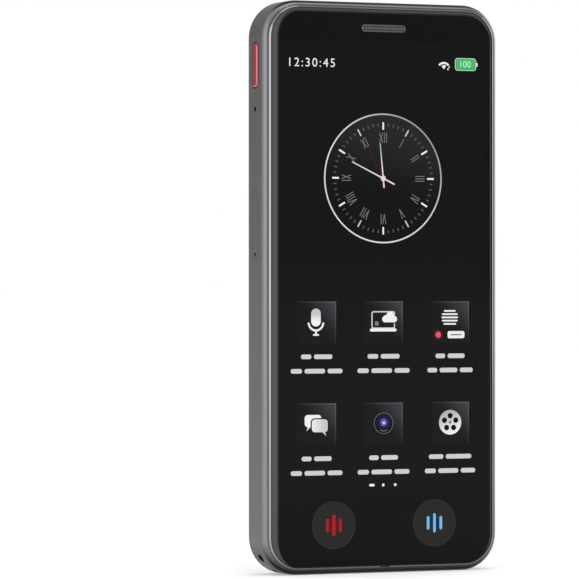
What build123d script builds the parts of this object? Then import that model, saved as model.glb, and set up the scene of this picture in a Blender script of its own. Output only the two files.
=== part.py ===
from build123d import *
import math
import os

# Handheld voice translator: a slab with a touch display, a glass back and a metal frame.
# Millimetres. +X is right as the user sees the screen, the screen faces -Y, +Z is up,
# and the origin is the middle of the bottom edge that the slab stands on.

# ---------------------------------------------------------------- case
case_w = 64.3  # across the flat sides
case_h = 142.0
case_t = 11.8  # front lip to rear lip
corner_r = 9.3
shoulder_r = 2.05  # rounded edge between the flat side and the lip
shoulder_turn = 70.0  # degrees that the rounded edge turns through
lip = 0.4  # polished 45 degree lip around each glass
wall = 3.2  # flat side to cavity
shelf_w = 1.0  # ledge that carries the mid plate
shelf_t = 0.6
over = 0.5  # how far a cutter reaches past what it cuts
small_r = 0.5  # corners of small inner pieces
small_sides = 12  # small fixed round details have this many sides, to keep the facets few

# ---------------------------------------------------------------- glass and display
glass_t = 0.8
glass_proud = 0.1  # the glass stands out of the lip by this much
glass_gap = 0.1  # between a glass edge and the lip
glass_run = 1.7  # width of the curved edge of the glass
glass_drop = 0.35  # how far that edge falls away
glue_t = 0.15
glue_w = 1.1
display_low = 18.8
display_down = 10.0  # top edge of the case to the display
panel_t = 0.8
backlight_t = 0.6
panel_gap = 0.2  # display to cavity wall
plate_gap = 0.1  # display to mid plate
plate_t = 0.6
plate_fit = 0.05

# ---------------------------------------------------------------- earpiece
earpiece_x = 0.3
earpiece_down = 6.5  # top edge of the case to the earpiece
earpiece_w = 12.4
earpiece_h = 1.9
mesh_t = 0.45
mesh_fit = 0.05
mesh_hole = 0.4
mesh_pitch = 0.75
receiver_w = 11.6
receiver_h = 4.4
receiver_gap = 0.1
receiver_corner = 1.5

# ---------------------------------------------------------------- touch keys under the glass
touch_in = 18.25  # flat side to the middle of a touch key
touch_mid_x = 0.4
touch_z = 12.15
touch_r = 5.4
guide_t = 0.6
touch_flex_t = 0.2
led_w = 1.6
led_h = 0.8

# ---------------------------------------------------------------- side keys
key_w = 3.2  # across the thickness of the case
key_proud = 0.6
key_travel = 0.4
power_proud = 0.3
power_travel = 0.25
key_gap = 0.12
key_corner = 1.1
key_edge = 0.3
key_body = 1.7  # from the flat side in to the flange
flange_t = 0.6
flange_over = 0.6
flange_gap = 0.05
nub_r = 0.7
nub_end = 3.3  # depth of the nub's tip below the flat side
power_down = 16.1  # top edge of the case to the middle of each key
power_len = 10.7
red_key_down = 38.7
blue_key_down = 58.8
talk_len = 16.5
inlay_len = 9.0
inlay_w = 2.3
inlay_t = 0.35
switch_gap = 0.05
switch_t = 1.2
switch_l = 3.6
switch_w = 2.8
switch_bore_gap = 0.1
switch_bore_depth = 0.55
side_flex_t = 0.15
side_flex_w = 3.0
ear_t = 0.45
ear_top = 1.5  # depth that the upstands of the mid plate reach

# ---------------------------------------------------------------- microphones
side_mic_down = 26.9
side_mic_r = 0.6
mic_port_r = 0.45
mic_w = 2.6
mic_l = 3.4
mic_t = 1.0
bottom_mic_x = -12.0
front_mic_w = 2.5
front_mic_h = 0.5
front_mic_x = 0.5
front_mic_depth = 1.2

# ---------------------------------------------------------------- lanyard tunnel
lanyard_angle = 51.0  # round the corner, from the side towards the bottom
lanyard_bend = 2.75  # radius of the tunnel's centre line
lanyard_r = 1.15
lanyard_wall = 1.2

# ---------------------------------------------------------------- boards
board_t = 0.8
board_stand = 1.5  # mid plate to board
board_side_gap = 0.35  # board to the upstands beside it
board_top_gap = 1.2  # cavity to the main board
main_below_cage = 3.4  # lower end of the main board under the SIM cage
sub_low = 5.4
sub_high = 22.4
sub_side_gap = 0.75  # narrower than the main board by this
sub_boss_gap = 2.6  # lanyard boss to the lower board
board_corner = 2.5
post_r = 1.7
screw_r = 0.65
screw_fit = 0.03
board_hole_gap = 0.15
screw_head_r = 1.25
screw_head_t = 0.5
screw_reach = 2.0  # below the front face of the board's rear side
clamp_t = 0.5  # thickness of whatever a screw head clamps
column_r = 1.9
column_gap = 0.1
screw_side = 3.25  # board edge to a screw beside it
screw_top = 3.6
screw_left_down = 36.6  # top edge of the main board to the lower left screw
screw_right_down = 29.6
screw_low = 2.5
screw_low_x = 3.0

# ---------------------------------------------------------------- SIM tray
tray_down = 47.2  # top edge of the case to the upper end of the tray
tray_face_w = 3.0
tray_face_t = 1.3
tray_fit = 0.06
drawer_below = 2.7  # tray face beyond the drawer, at the eject hole
drawer_above = 0.6
drawer_gap = 0.08
drawer_floor = 0.4
tray_travel = 20.0
sim_long = 12.3
sim_short = 8.8
sim_t = 0.67
sim_fit = 0.08
sim_first = 0.75  # from the back of the face to the first card
sim_rib = 0.8
sim_wall = 0.57
sim_end = 0.63
sim_under = 0.03  # card below the drawer's upper face
sim_corner = 1.8  # side of the square that cuts a card's corner
sim_base_t = 0.22
cage_t = 0.2
cage_gap = 0.1
cage_in = 5.4  # side wall to cage mouth
cage_low = 0.8  # eject rod to the cage's lower wall
cage_high = 0.9
cage_back_gap = 0.3  # swung lever to the back of the cage
eject_up = 1.3  # lower end of the tray's face to the eject hole
eject_hole_r = 0.45
rod_r = 0.35
rod_fit = 0.08
rod_gap = 0.3  # rod tip behind the tray's face
rod_travel = 1.2
lever_arm = 5.3
lever_w = 0.8
lever_t = 0.5
lever_free = 0.12  # play between rod and lever
lever_slack = 0.1  # left between lever and tray at full stroke
pivot_r = 0.4
pivot_fit = 0.05
lever_end = 0.5

# ---------------------------------------------------------------- camera and flash
cam_in = 11.15  # flat side to the camera's axis
cam_down = 12.4  # top edge of the case to the camera's axis
flash_pitch = 11.5  # camera to flash
ring_r = 5.4
ring_proud = 0.4
ring_fit = 0.05
ring_flat = 0.5
ring_depth = 1.7
ring_dish = 0.75
window_r = 3.1
window_t = 0.55
window_seat = 0.35
cam_body = 8.6
cam_notch_gap = 0.35
cam_base_gap = 0.1
cam_ring_gap = 0.4  # camera module to the ring
cam_floor = 0.6
sensor_pit = 1.4
sensor_w = 6.4
sensor_h = 5.2
sensor_t = 0.7
barrel_r = 3.0
barrel_fit = 0.05
barrel_len = 2.6
barrel_under = 0.1
focus_travel = 0.25
flash_r = 3.45
flash_lens_r = 2.6
flash_proud = 0.05
flash_depth = 0.9
flash_dome = 0.12
flash_led_w = 3.2
flash_led_t = 0.35

# ---------------------------------------------------------------- inner covers and modules
carrier_t = 1.0
carrier_gap = 0.7  # carrier to the rear glass
carrier_in = 0.4  # carrier inside the board's outline
antenna_t = 0.06
antenna_w = 25.5  # upper antenna
antenna_h = 11.0
antenna_side = 6.8  # carrier edge to the upper antenna
antenna_down = 1.2
side_antenna_side = 0.95
side_antenna_w = 8.4
side_antenna_h = 18.0
side_antenna_up = 4.6
shield_t = 0.2
shield_h = 1.5
cage_shield_gap = 2.3  # SIM cage to the processor shield
processor_side = 7.2  # board edge to the processor shield
processor_up = 11.0
processor_h = 27.0
radio_side = 8.7
radio_cam_gap = 9.3  # radio shield to the camera's notch
radio_up = 40.0
radio_h = 17.5
chip_t = 0.9
chip_gap = 1.2
chip_sizes = [(12.0, 11.0), (12.0, 6.2), (6.0, 5.0)]  # processor, memory and power chip
radio_chip = 8.0
socket_w = 6.0
socket_h = 2.4
socket_up = 0.8
lead_socket_x = -10.0
display_socket_side = 8.7
cell_side_gap = 0.95  # ledge to battery
cell_board_gap = 2.4  # battery to the main board
cell_sub_gap = 3.6
cell_rear_gap = 1.9  # battery to the rear glass
cell_edge = 1.2
tape_t = 0.1
ribbon_t = 0.15
ribbon_w = 8.0
ribbon_x = 12.0
ribbon_bend = 0.8
ribbon_tail = 4.4  # length that lies on each board
ribbon_sub_off = 1.6  # board edge to the rise of the ribbon
ribbon_cell_off = 1.1  # battery to the ribbon's fall
speaker_usb_gap = 0.73  # socket to speaker box
speaker_low = 4.6
speaker_high = 17.4
speaker_glass_gap = 0.85
speaker_wall = 0.8
driver_w = 15.0
driver_h = 9.6
driver_t = 2.6
cone_t = 0.15
speaker_hole_r = 0.55
speaker_hole_count = 6
speaker_hole_pitch = 2.0
speaker_hole_x = 10.0

# ---------------------------------------------------------------- vibration motor
motor_in = 5.4  # left edge of the lower board to the can
motor_len = 8.0
motor_z = 12.6
motor_r = 2.0
motor_lift = 0.15
motor_shaft_r = 0.4
motor_fit = 0.05
weight_len = 3.2
weight_gap = 0.4
weight_r = 1.95
bracket_t = 0.25
bracket_w = 4.0

# ---------------------------------------------------------------- USB socket
usb_w = 8.94
usb_h = 3.16
usb_wall = 0.25
usb_fit = 0.08
usb_low = 0.35
usb_high = 7.7
usb_tongue_w = 6.7
usb_tongue_t = 0.7
usb_tongue_low = 1.2
usb_plug_end = 6.2
usb_notch_gap = 0.25

# ---------------------------------------------------------------- worked out from the above
mid_z = case_h / 2
side_x = case_w / 2
earpiece_z = case_h - earpiece_down
display_high = case_h - display_down
power_z = case_h - power_down
side_mic_z = case_h - side_mic_down
red_key_z = case_h - red_key_down
blue_key_z = case_h - blue_key_down
cam_x = side_x - cam_in
touch_x = side_x - touch_in
cam_z = case_h - cam_down
flash_z = cam_z - flash_pitch
turn = math.radians(shoulder_turn)
shoulder_in = shoulder_r * (1 - math.cos(turn))
shoulder_deep = shoulder_r * math.sin(turn)
shoulder_end = case_t / 2 - lip
flat_half = shoulder_end - shoulder_deep
opening_in = shoulder_in + lip
front_y = -case_t / 2
rear_y = case_t / 2
glass_front = front_y - glass_proud
glass_back = glass_front + glass_t
front_seat = glass_back + glue_t
rear_glass_in = rear_y + glass_proud - glass_t
rear_glass_out = rear_y + glass_proud
rear_seat = rear_glass_in - glue_t
cavity_x = side_x - wall
panel_back = glass_back + panel_t
display_back = panel_back + backlight_t
plate_front = display_back + plate_gap
plate_back = plate_front + plate_t
board_front = plate_back + board_stand
board_back = board_front + board_t
head_seat = board_back + clamp_t
nub_reach = side_x - nub_end
switch_out = cavity_x - switch_gap
switch_in = switch_out - switch_t
side_flex_in = switch_in - side_flex_t
ear_in = side_flex_in - ear_t
lanyard_x = -(side_x - corner_r) - corner_r * math.cos(math.radians(lanyard_angle))
lanyard_z = corner_r - corner_r * math.sin(math.radians(lanyard_angle))
lanyard_boss_r = lanyard_bend + lanyard_r + lanyard_wall
lanyard_half = lanyard_r + lanyard_wall
drawer_w = sim_long + 2 * (sim_fit + sim_wall)
drawer_len = sim_first + 2 * (sim_short + 2 * sim_fit) + sim_rib + sim_end
drawer_t = drawer_floor + sim_t + sim_under
tray_high = case_h - tray_down
tray_low = tray_high - drawer_above - drawer_w - drawer_below
drawer_low = tray_low + drawer_below
drawer_high = drawer_low + drawer_w
eject_z = tray_low + eject_up
cage_z0 = eject_z - cage_low
cage_z1 = drawer_high + cage_high
board_half = ear_in - board_side_gap
main_high = case_h - wall - board_top_gap
main_low = cage_z0 - main_below_cage
sub_left = lanyard_x + lanyard_boss_r + sub_boss_gap
sub_right = board_half - sub_side_gap
speaker_left = usb_w / 2 + speaker_usb_gap
speaker_right = sub_right
speaker_top = rear_seat - speaker_glass_gap
screw_x = board_half - screw_side
main_screws = [
    (-screw_x, main_high - screw_left_down),
    (-screw_x, main_high - screw_top),
    (screw_x, main_high - screw_right_down),
    (screw_low_x, main_low + screw_low),
]
sub_screws = [
    (sub_right - screw_low, sub_high - screw_low),
    (speaker_left, sub_high - screw_low),
    (sub_left + screw_low, sub_high - screw_low),
]
cell_half = cavity_x - shelf_w - cell_side_gap
cell_low = sub_high + cell_sub_gap
cell_high = main_low - cell_board_gap
cell_t = rear_glass_in - cell_rear_gap - plate_back - tape_t
cam_notch = cam_body / 2 + cam_notch_gap
cam_top = rear_glass_out + ring_proud - ring_depth - cam_ring_gap
carrier_y = rear_glass_in - carrier_gap - carrier_t
carrier_half = board_half - carrier_in
carrier_low = main_low + carrier_in
carrier_high = main_high - carrier_in
tray_in_x = -side_x + tray_face_t
drawer_end = tray_in_x + drawer_len
drawer_y0 = board_back + sim_base_t + drawer_gap
drawer_y1 = drawer_y0 + drawer_t
cage_x0 = -side_x + cage_in
lever_face = drawer_end + lever_slack + rod_travel
pivot_x = lever_face + lever_w / 2
lever_swing = rod_travel * (1 + lever_end / lever_arm)
cage_x1 = lever_face + lever_w + lever_swing + cage_back_gap + cage_t
pivot_z = eject_z + lever_arm
rod_start = tray_in_x + rod_gap
rod_stop = lever_face - lever_free
motor_x0 = sub_left + motor_in
motor_x1 = motor_x0 + motor_len
motor_y = board_back + motor_lift + motor_r
socket_low = main_low + socket_up
display_socket_x = board_half - display_socket_side


# ---------------------------------------------------------------- helpers
def slab(sketch, y0, y1):
    """Solid from depth y0 to y1; the sketch is drawn in X and Z."""
    return extrude(Plane.XZ.offset(-y1) * sketch, amount=y1 - y0)


def side_slab(side, sketch, a, b):
    """Solid between a and b mm from the middle plane, on the side -1 or +1; sketch in Y and Z."""
    x0, x1 = sorted((side * a, side * b))
    return extrude(Plane.YZ.offset(x0) * sketch, amount=x1 - x0)


def rise(sketch, z0, z1):
    """Solid from height z0 to z1; the sketch is drawn in X and Y."""
    return extrude(Plane.XY.offset(z0) * sketch, amount=z1 - z0)


def plate(x0, x1, z0, z1, y0, y1, r=0.0):
    """Flat block given by its limits, with its corners rounded by r."""
    w, h = x1 - x0, z1 - z0
    outline = RectangleRounded(w, h, r) if r else Rectangle(w, h)
    return slab(Pos((x0 + x1) / 2, (z0 + z1) / 2) * outline, y0, y1)


def disc(x, z, r, y0, y1):
    return slab(Pos(x, z) * Circle(r), y0, y1)


def small_round(r):
    """Outline of a small round detail that nothing turns in."""
    return RegularPolygon(r, small_sides)


def small_disc(x, z, r, y0, y1):
    return slab(Pos(x, z) * small_round(r), y0, y1)


def ring(x, z, r_out, r_in, y0, y1):
    return slab(Pos(x, z) * (Circle(r_out) - Circle(r_in)), y0, y1)


def group(pieces):
    """Separate solids that share one node."""
    return Compound(children=[piece.solid() for piece in pieces])


def case_outline(inset=0.0):
    outline = RectangleRounded(case_w - 2 * inset, case_h - 2 * inset, corner_r - inset)
    return Pos(0, mid_z) * outline


# ---------------------------------------------------------------- frame
def rounded_band():
    """Solid outside of the case: flat sides, rounded shoulders and a 45 degree lip."""
    half = flat_half + shoulder_r
    core = slab(case_outline(), -half, half)
    core = fillet(core.edges().group_by(Axis.Y)[0], shoulder_r)
    core = fillet(core.edges().group_by(Axis.Y)[-1], shoulder_r)
    band = core & slab(case_outline(-over), -shoulder_end, shoulder_end)
    for side in (-1, 1):
        foot = Plane.XZ.offset(-side * shoulder_end) * case_outline(shoulder_in)
        top = Plane.XZ.offset(-side * case_t / 2) * case_outline(opening_in)
        band += loft([foot, top], ruled=True)
    return band


def key_pocket(side, z, length):
    """Opening for a side key, with a wider pocket inside for its flange."""
    through = RectangleRounded(key_w + 2 * key_gap, length + 2 * key_gap, key_corner + key_gap)
    reach = flange_over + key_gap
    seat = Rectangle(key_w + 2 * reach, length + 2 * reach)
    cut = side_slab(side, Pos(0, z) * through, cavity_x - over, side_x + over)
    cut += side_slab(side, Pos(0, z) * seat, cavity_x - over, side_x - key_body + flange_gap)
    return cut


def tray_opening():
    """Slot for the SIM tray: face pocket, drawer slot and the hole of the eject rod."""
    z = (tray_low + tray_high) / 2
    face = SlotOverall(tray_high - tray_low + 2 * tray_fit, tray_face_w + 2 * tray_fit)
    cut = side_slab(-1, Pos(0, z) * Rot(0, 0, 90) * face, side_x - tray_face_t - tray_fit, side_x + over)
    y = (drawer_y0 + drawer_y1) / 2
    slot = Rectangle(drawer_t + 2 * drawer_gap, drawer_w + 2 * drawer_gap)
    slot = Pos(y, (drawer_low + drawer_high) / 2) * slot
    cut += side_slab(-1, slot, cavity_x - over, side_x)
    cut += side_slab(-1, Pos(0, eject_z) * Circle(rod_r + rod_fit), cavity_x - over, side_x)
    return cut


def lanyard_tunnel():
    """Curved bore that enters on one side of the corner and leaves on the other."""
    bore = revolve(Pos(lanyard_bend, 0) * small_round(lanyard_r), Axis.Y)
    return Pos(lanyard_x, 0, lanyard_z) * bore


def speaker_hole_places():
    return [speaker_hole_x + i * speaker_hole_pitch for i in range(speaker_hole_count)]


def metal_frame():
    frame = rounded_band()
    frame -= slab(case_outline(opening_in), front_y - over, front_seat)
    frame -= slab(case_outline(opening_in), rear_seat, rear_y + over)
    boss = disc(lanyard_x, lanyard_z, lanyard_boss_r, plate_back, lanyard_half)
    frame -= slab(case_outline(wall), front_seat - over, plate_back)
    frame -= slab(case_outline(wall + shelf_w), plate_front, plate_back + shelf_t + over) - boss
    frame -= slab(case_outline(wall), plate_back + shelf_t, rear_seat + over) - boss
    frame -= key_pocket(-1, power_z, power_len)
    frame -= key_pocket(1, red_key_z, talk_len)
    frame -= key_pocket(1, blue_key_z, talk_len)
    frame -= tray_opening()
    frame -= side_slab(-1, Pos(0, side_mic_z) * Circle(side_mic_r), cavity_x - over, side_x + over)
    frame -= lanyard_tunnel()
    port = SlotOverall(usb_w + 2 * usb_fit, usb_h + 2 * usb_fit)
    frame -= rise(port, -over, wall + over)
    for x in speaker_hole_places():
        frame -= rise(Pos(x, 0) * small_round(speaker_hole_r), -over, wall + over)
    frame -= rise(Pos(bottom_mic_x, 0) * small_round(mic_port_r), -over, wall + over)
    notch = Pos(front_mic_x, opening_in) * SlotOverall(front_mic_w, front_mic_h)
    frame -= slab(notch, front_y - over, front_y + front_mic_depth)
    return frame


# ---------------------------------------------------------------- glass, glue and display
def curved_glass(side):
    """Glass sheet whose outer face curves down along its edge; side -1 is the front."""
    sweep_r = (glass_run**2 + glass_drop**2) / (2 * glass_drop)
    extra = sweep_r - glass_run
    edge_in = opening_in + glass_gap
    if side < 0:
        block = slab(case_outline(edge_in - extra), glass_front, glass_front + sweep_r + over)
        block = fillet(block.edges().group_by(Axis.Y)[0], sweep_r)
        return block & slab(case_outline(edge_in), glass_front - over, glass_back)
    block = slab(case_outline(edge_in - extra), rear_glass_out - sweep_r - over, rear_glass_out)
    block = fillet(block.edges().group_by(Axis.Y)[-1], sweep_r)
    return block & slab(case_outline(edge_in), rear_glass_in, rear_glass_out + over)


def earpiece_slot(grow):
    shape = SlotOverall(earpiece_w + 2 * grow, earpiece_h + 2 * grow)
    return Pos(earpiece_x, earpiece_z) * shape


def cover_glass():
    return curved_glass(-1) - slab(earpiece_slot(0), glass_front - over, glass_back + over)


def rear_glass():
    glass = curved_glass(1)
    glass -= disc(cam_x, cam_z, ring_r + ring_fit, rear_glass_in - over, rear_glass_out + over)
    glass -= disc(cam_x, flash_z, flash_r + ring_fit, rear_glass_in - over, rear_glass_out + over)
    return glass


def glue_ring(y0, y1):
    outer = case_outline(opening_in + glass_gap + glue_t)
    inner = case_outline(opening_in + glass_gap + glue_t + glue_w)
    return slab(outer, y0, y1) - slab(inner, y0 - over, y1 + over)


def glass_glue():
    """Adhesive frames under the two glasses."""
    return group([glue_ring(glass_back, front_seat), glue_ring(rear_seat, rear_glass_in)])


def display_block(y0, y1):
    half = cavity_x - panel_gap
    return plate(-half, half, display_low, display_high, y0, y1, board_corner)


def lcd_panel():
    return display_block(glass_back, panel_back)


def backlight_unit():
    tray = display_block(panel_back, display_back)
    half = cavity_x - panel_gap - board_corner
    low, high = display_low + board_corner, display_high - board_corner
    return tray - plate(-half, half, low, high, display_back - backlight_t / 3, display_back)


def earpiece_mesh():
    mesh = slab(earpiece_slot(-mesh_fit), glass_back - mesh_t, glass_back)
    count = int((earpiece_w / 2 - earpiece_h / 2) / mesh_pitch)
    rows = (-mesh_pitch / 2, mesh_pitch / 2)
    holes = [
        Pos(earpiece_x + i * mesh_pitch, earpiece_z + row) * Rectangle(mesh_hole, mesh_hole)
        for i in range(-count, count + 1)
        for row in rows
    ]
    return mesh - slab(Sketch() + holes, glass_back - mesh_t - over, glass_back + over)


def earpiece_receiver():
    x0, x1 = earpiece_x - receiver_w / 2, earpiece_x + receiver_w / 2
    z0 = earpiece_z - receiver_h / 2
    y0, y1 = glass_back + receiver_gap, board_front - receiver_gap
    can = plate(x0, x1, z0, z0 + receiver_h, y0, y1, receiver_corner)
    return can - slab(earpiece_slot(-over), y0, y0 + over)


# ---------------------------------------------------------------- touch keys
def touch_guides():
    guides = []
    for x in (touch_mid_x - touch_x, touch_mid_x + touch_x):
        guide = small_disc(x, touch_z, touch_r, glass_back, glass_back + guide_t)
        pit = plate(-led_w, led_w, -led_h, led_h, glass_back + guide_t / 3, glass_back + guide_t)
        guides.append(guide - Pos(x, 0, touch_z) * pit)
    return group(guides)


def touch_key_flex():
    y0 = glass_back + guide_t
    reach = touch_x + touch_r
    x0, x1 = touch_mid_x - reach, touch_mid_x + reach
    return plate(x0, x1, touch_z - touch_r, touch_z + touch_r / 2, y0, y0 + touch_flex_t, board_corner)


def touch_key_leds():
    y1 = glass_back + guide_t
    leds = []
    for x in (touch_mid_x - touch_x, touch_mid_x + touch_x):
        led = plate(x - led_w / 2, x + led_w / 2, touch_z - led_h / 2, touch_z + led_h / 2, y1 - guide_t / 2, y1)
        leds.append(led)
    return group(leds)


# ---------------------------------------------------------------- side keys
def side_key(side, z, length, proud, inlay):
    """Key cap with a retaining flange and a nub; its outer face may hold an inlay."""
    outer = side_x + proud
    cap = side_slab(side, Pos(0, z) * RectangleRounded(key_w, length, key_corner), side_x - key_body, outer)
    face = cap.edges().group_by(Axis.X)[-1 if side > 0 else 0]
    cap = chamfer(face, key_edge)
    width, long = key_w + 2 * flange_over, length + 2 * flange_over
    flange = Rectangle(width, long)
    back = side_x - key_body - flange_t
    cap += side_slab(side, Pos(0, z) * flange, back, side_x - key_body)
    cap += side_slab(side, Pos(0, z) * Circle(nub_r), nub_reach, back)
    if inlay:
        pocket = RectangleRounded(inlay_w, inlay_len, inlay_w / 3)
        cap -= side_slab(side, Pos(0, z) * pocket, outer - inlay_t, outer + over)
    return cap


def key_inlay(z):
    outline = RectangleRounded(inlay_w, inlay_len, inlay_w / 3)
    return side_slab(1, Pos(0, z) * outline, side_x + key_proud - inlay_t, side_x + key_proud)


def power_button():
    return side_key(-1, power_z, power_len, power_proud, False)


def red_key():
    return side_key(1, red_key_z, talk_len, key_proud, True)


def blue_key():
    return side_key(1, blue_key_z, talk_len, key_proud, True)


def red_key_inlay():
    return key_inlay(red_key_z)


def blue_key_inlay():
    return key_inlay(blue_key_z)


def side_switch(side, z):
    body = side_slab(side, Pos(0, z) * Rectangle(switch_w, switch_l), switch_in, switch_out)
    bore = Pos(0, z) * Rectangle(2 * (nub_r + switch_bore_gap), 2 * (nub_r + switch_bore_gap))
    return body - side_slab(side, bore, switch_out - switch_bore_depth, switch_out + over)


def power_switch():
    return side_switch(-1, power_z)


def talk_switches():
    return group([side_switch(1, red_key_z), side_switch(1, blue_key_z)])


def side_strip(side, z0, z1, a, b, width):
    return side_slab(side, Pos(0, (z0 + z1) / 2) * Rectangle(width, z1 - z0), a, b)


def power_flex():
    z0, z1 = side_mic_z - mic_l, power_z + switch_l
    return side_strip(-1, z0, z1, side_flex_in, switch_in, side_flex_w)


def key_flex():
    z0, z1 = blue_key_z - switch_l, red_key_z + switch_l
    return side_strip(1, z0, z1, side_flex_in, switch_in, side_flex_w)


def side_microphone():
    body = side_slab(-1, Pos(0, side_mic_z) * Rectangle(mic_w, mic_l), switch_in, switch_out)
    port = Pos(0, side_mic_z) * small_round(mic_port_r)
    return body - side_slab(-1, port, switch_out - mic_t / 2, switch_out + over)


# ---------------------------------------------------------------- mid plate and boards
def ear(side, z0, z1):
    """Upstand of the mid plate behind a side switch."""
    x0, x1 = sorted((side * ear_in, side * side_flex_in))
    return plate(x0, x1, z0, z1, plate_back - plate_t / 2, ear_top)


def mid_plate():
    body = slab(case_outline(wall + plate_fit), plate_front, plate_back)
    x0, x1 = earpiece_x - receiver_w / 2, earpiece_x + receiver_w / 2
    z0 = earpiece_z - receiver_h / 2
    body -= plate(x0 - receiver_gap, x1 + receiver_gap, z0 - receiver_gap, case_h, plate_front, plate_back)
    for x, z in main_screws + sub_screws:
        body += small_disc(x, z, post_r, plate_back, board_front)
        body -= small_disc(x, z, screw_r + screw_fit, board_back - screw_reach - 2 * screw_fit - clamp_t, board_front)
    body += ear(-1, side_mic_z - mic_l, power_z + switch_l)
    body += ear(1, blue_key_z - switch_l, red_key_z + switch_l)
    return body


def screw_holes(places):
    holes = [Pos(x, z) * small_round(screw_r + board_hole_gap) for x, z in places]
    return slab(Sketch() + holes, board_front - over, board_back + over)


def main_board():
    board = plate(-board_half, board_half, main_low, main_high, board_front, board_back, board_corner)
    board -= plate(
        cam_x - cam_notch, case_w, cam_z - cam_notch, cam_z + cam_notch, board_front - over, board_back + over
    )
    return board - screw_holes(main_screws)


def sub_board():
    board = plate(sub_left, sub_right, sub_low, sub_high, board_front, board_back, board_corner)
    half = usb_w / 2 + usb_notch_gap
    board -= plate(-half, half, 0, usb_high + usb_notch_gap, board_front - over, board_back + over)
    return board - screw_holes(sub_screws)


def chip(x0, z0, w, h):
    return plate(x0, x0 + w, z0, z0 + h, board_back, board_back + chip_t)


def shield(x0, x1, z0, z1):
    """Sheet-metal can, open towards the board."""
    can = plate(x0, x1, z0, z1, board_back, board_back + shield_h, 2 * shield_t)
    top = board_back + shield_h - shield_t
    return can - plate(x0 + shield_t, x1 - shield_t, z0 + shield_t, z1 - shield_t, board_back, top)


def processor_place():
    """Limits of the processor's shield in X and Z."""
    z0 = main_low + processor_up
    return cage_x1 + cage_shield_gap, board_half - processor_side, z0, z0 + processor_h


def radio_place():
    z0 = main_low + radio_up
    return radio_side - board_half, cam_x - cam_notch - radio_cam_gap, z0, z0 + radio_h


def processor_shield():
    return shield(*processor_place())


def radio_shield():
    return shield(*radio_place())


def board_chips():
    """Processor, memory, power and radio chips under the two shields."""
    x0, x1, _, z1 = processor_place()
    chips = []
    for w, h in chip_sizes:
        z1 -= chip_gap + h
        chips.append(chip((x0 + x1 - w) / 2, z1, w, h))
    x0, x1, z0, z1 = radio_place()
    chips.append(chip((x0 + x1 - radio_chip) / 2, (z0 + z1 - radio_chip) / 2, radio_chip, radio_chip))
    return group(chips)


def board_sockets():
    """Sockets of the battery lead and of the display at the main board's lower end."""
    return group([chip(x, socket_low, socket_w, socket_h) for x in (lead_socket_x, display_socket_x)])


def board_screws():
    screws = []
    for x, z in main_screws + sub_screws:
        screw = small_disc(x, z, screw_head_r, head_seat, head_seat + screw_head_t)
        screw += small_disc(x, z, screw_r, board_back - screw_reach - clamp_t, head_seat)
        cross = Rectangle(screw_head_r, screw_head_t / 2) + Rectangle(screw_head_t / 2, screw_head_r)
        screw -= slab(Pos(x, z) * cross, head_seat + screw_head_t / 2, head_seat + screw_head_t)
        screws.append(screw)
    return group(screws)


# ---------------------------------------------------------------- SIM tray and ejector
def card_place(index):
    """Lower X of a card pocket in the drawer."""
    return tray_in_x + sim_first + index * (sim_short + 2 * sim_fit + sim_rib)


def sim_tray():
    z = (tray_low + tray_high) / 2
    face = Rot(0, 0, 90) * SlotOverall(tray_high - tray_low, tray_face_w)
    tray = side_slab(-1, Pos(0, z) * face, -tray_in_x, side_x)
    tray += plate(tray_in_x, drawer_end, drawer_low, drawer_high, drawer_y0, drawer_y1, small_r)
    tray += plate(tray_in_x, tray_in_x + over, drawer_low, drawer_high, drawer_y0, drawer_y1)
    mid = (drawer_low + drawer_high) / 2
    half = sim_long / 2 + sim_fit
    for index in (0, 1):
        x0 = card_place(index)
        x1 = x0 + sim_short + 2 * sim_fit
        tray -= plate(x0, x1, mid - half, mid + half, drawer_y0 + drawer_floor, drawer_y1)
        tray -= plate(x0 + 1, x1 - 1, mid - half + 1, mid + half - 1, drawer_y0 - over, drawer_y1)
    return tray - side_slab(-1, Pos(0, eject_z) * Circle(eject_hole_r), -tray_in_x - over, side_x + over)


def sim_card(index):
    mid = (drawer_low + drawer_high) / 2
    x0 = card_place(index) + sim_fit
    y0 = drawer_y0 + drawer_floor
    card = plate(x0, x0 + sim_short, mid - sim_long / 2, mid + sim_long / 2, y0, y0 + sim_t, small_r)
    corner = Pos(x0 + sim_short, mid + sim_long / 2) * Rot(0, 0, 45) * Rectangle(sim_corner, sim_corner)
    return card - slab(corner, y0 - over, y0 + sim_t + over)


def sim_cards():
    return group([sim_card(0), sim_card(1)])


def sim_base():
    """Contact block under the drawer, with the pivot of the eject lever."""
    base = plate(cage_x0, cage_x1 - cage_t, drawer_low, cage_z1 - cage_t, board_back, board_back + sim_base_t)
    base += disc(pivot_x, pivot_z, pivot_r, board_back, drawer_y1)
    return base


def sim_cage():
    """Folded cover over the drawer, the eject rod and the lever."""
    top = drawer_y1 + cage_gap + cage_t
    cage = plate(cage_x0, cage_x1, cage_z0, cage_z1, board_back, top)
    inner = plate(cage_x0 - over, cage_x1 - cage_t, cage_z0 + cage_t, cage_z1 - cage_t, board_back, top - cage_t)
    return cage - inner


def eject_rod():
    return side_slab(-1, Pos(0, eject_z) * Circle(rod_r), -rod_stop, -rod_start)


def eject_lever():
    y0 = board_back + sim_base_t + drawer_gap
    z0, z1 = eject_z - lever_end, pivot_z + lever_arm + lever_end
    lever = plate(pivot_x - lever_w / 2, pivot_x + lever_w / 2, z0, z1, y0, y0 + lever_t, lever_w / 3)
    lever += disc(pivot_x, pivot_z, 2 * pivot_r, y0, y0 + lever_t)
    return lever - disc(pivot_x, pivot_z, pivot_r + pivot_fit, y0 - over, y0 + lever_t + over)


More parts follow.
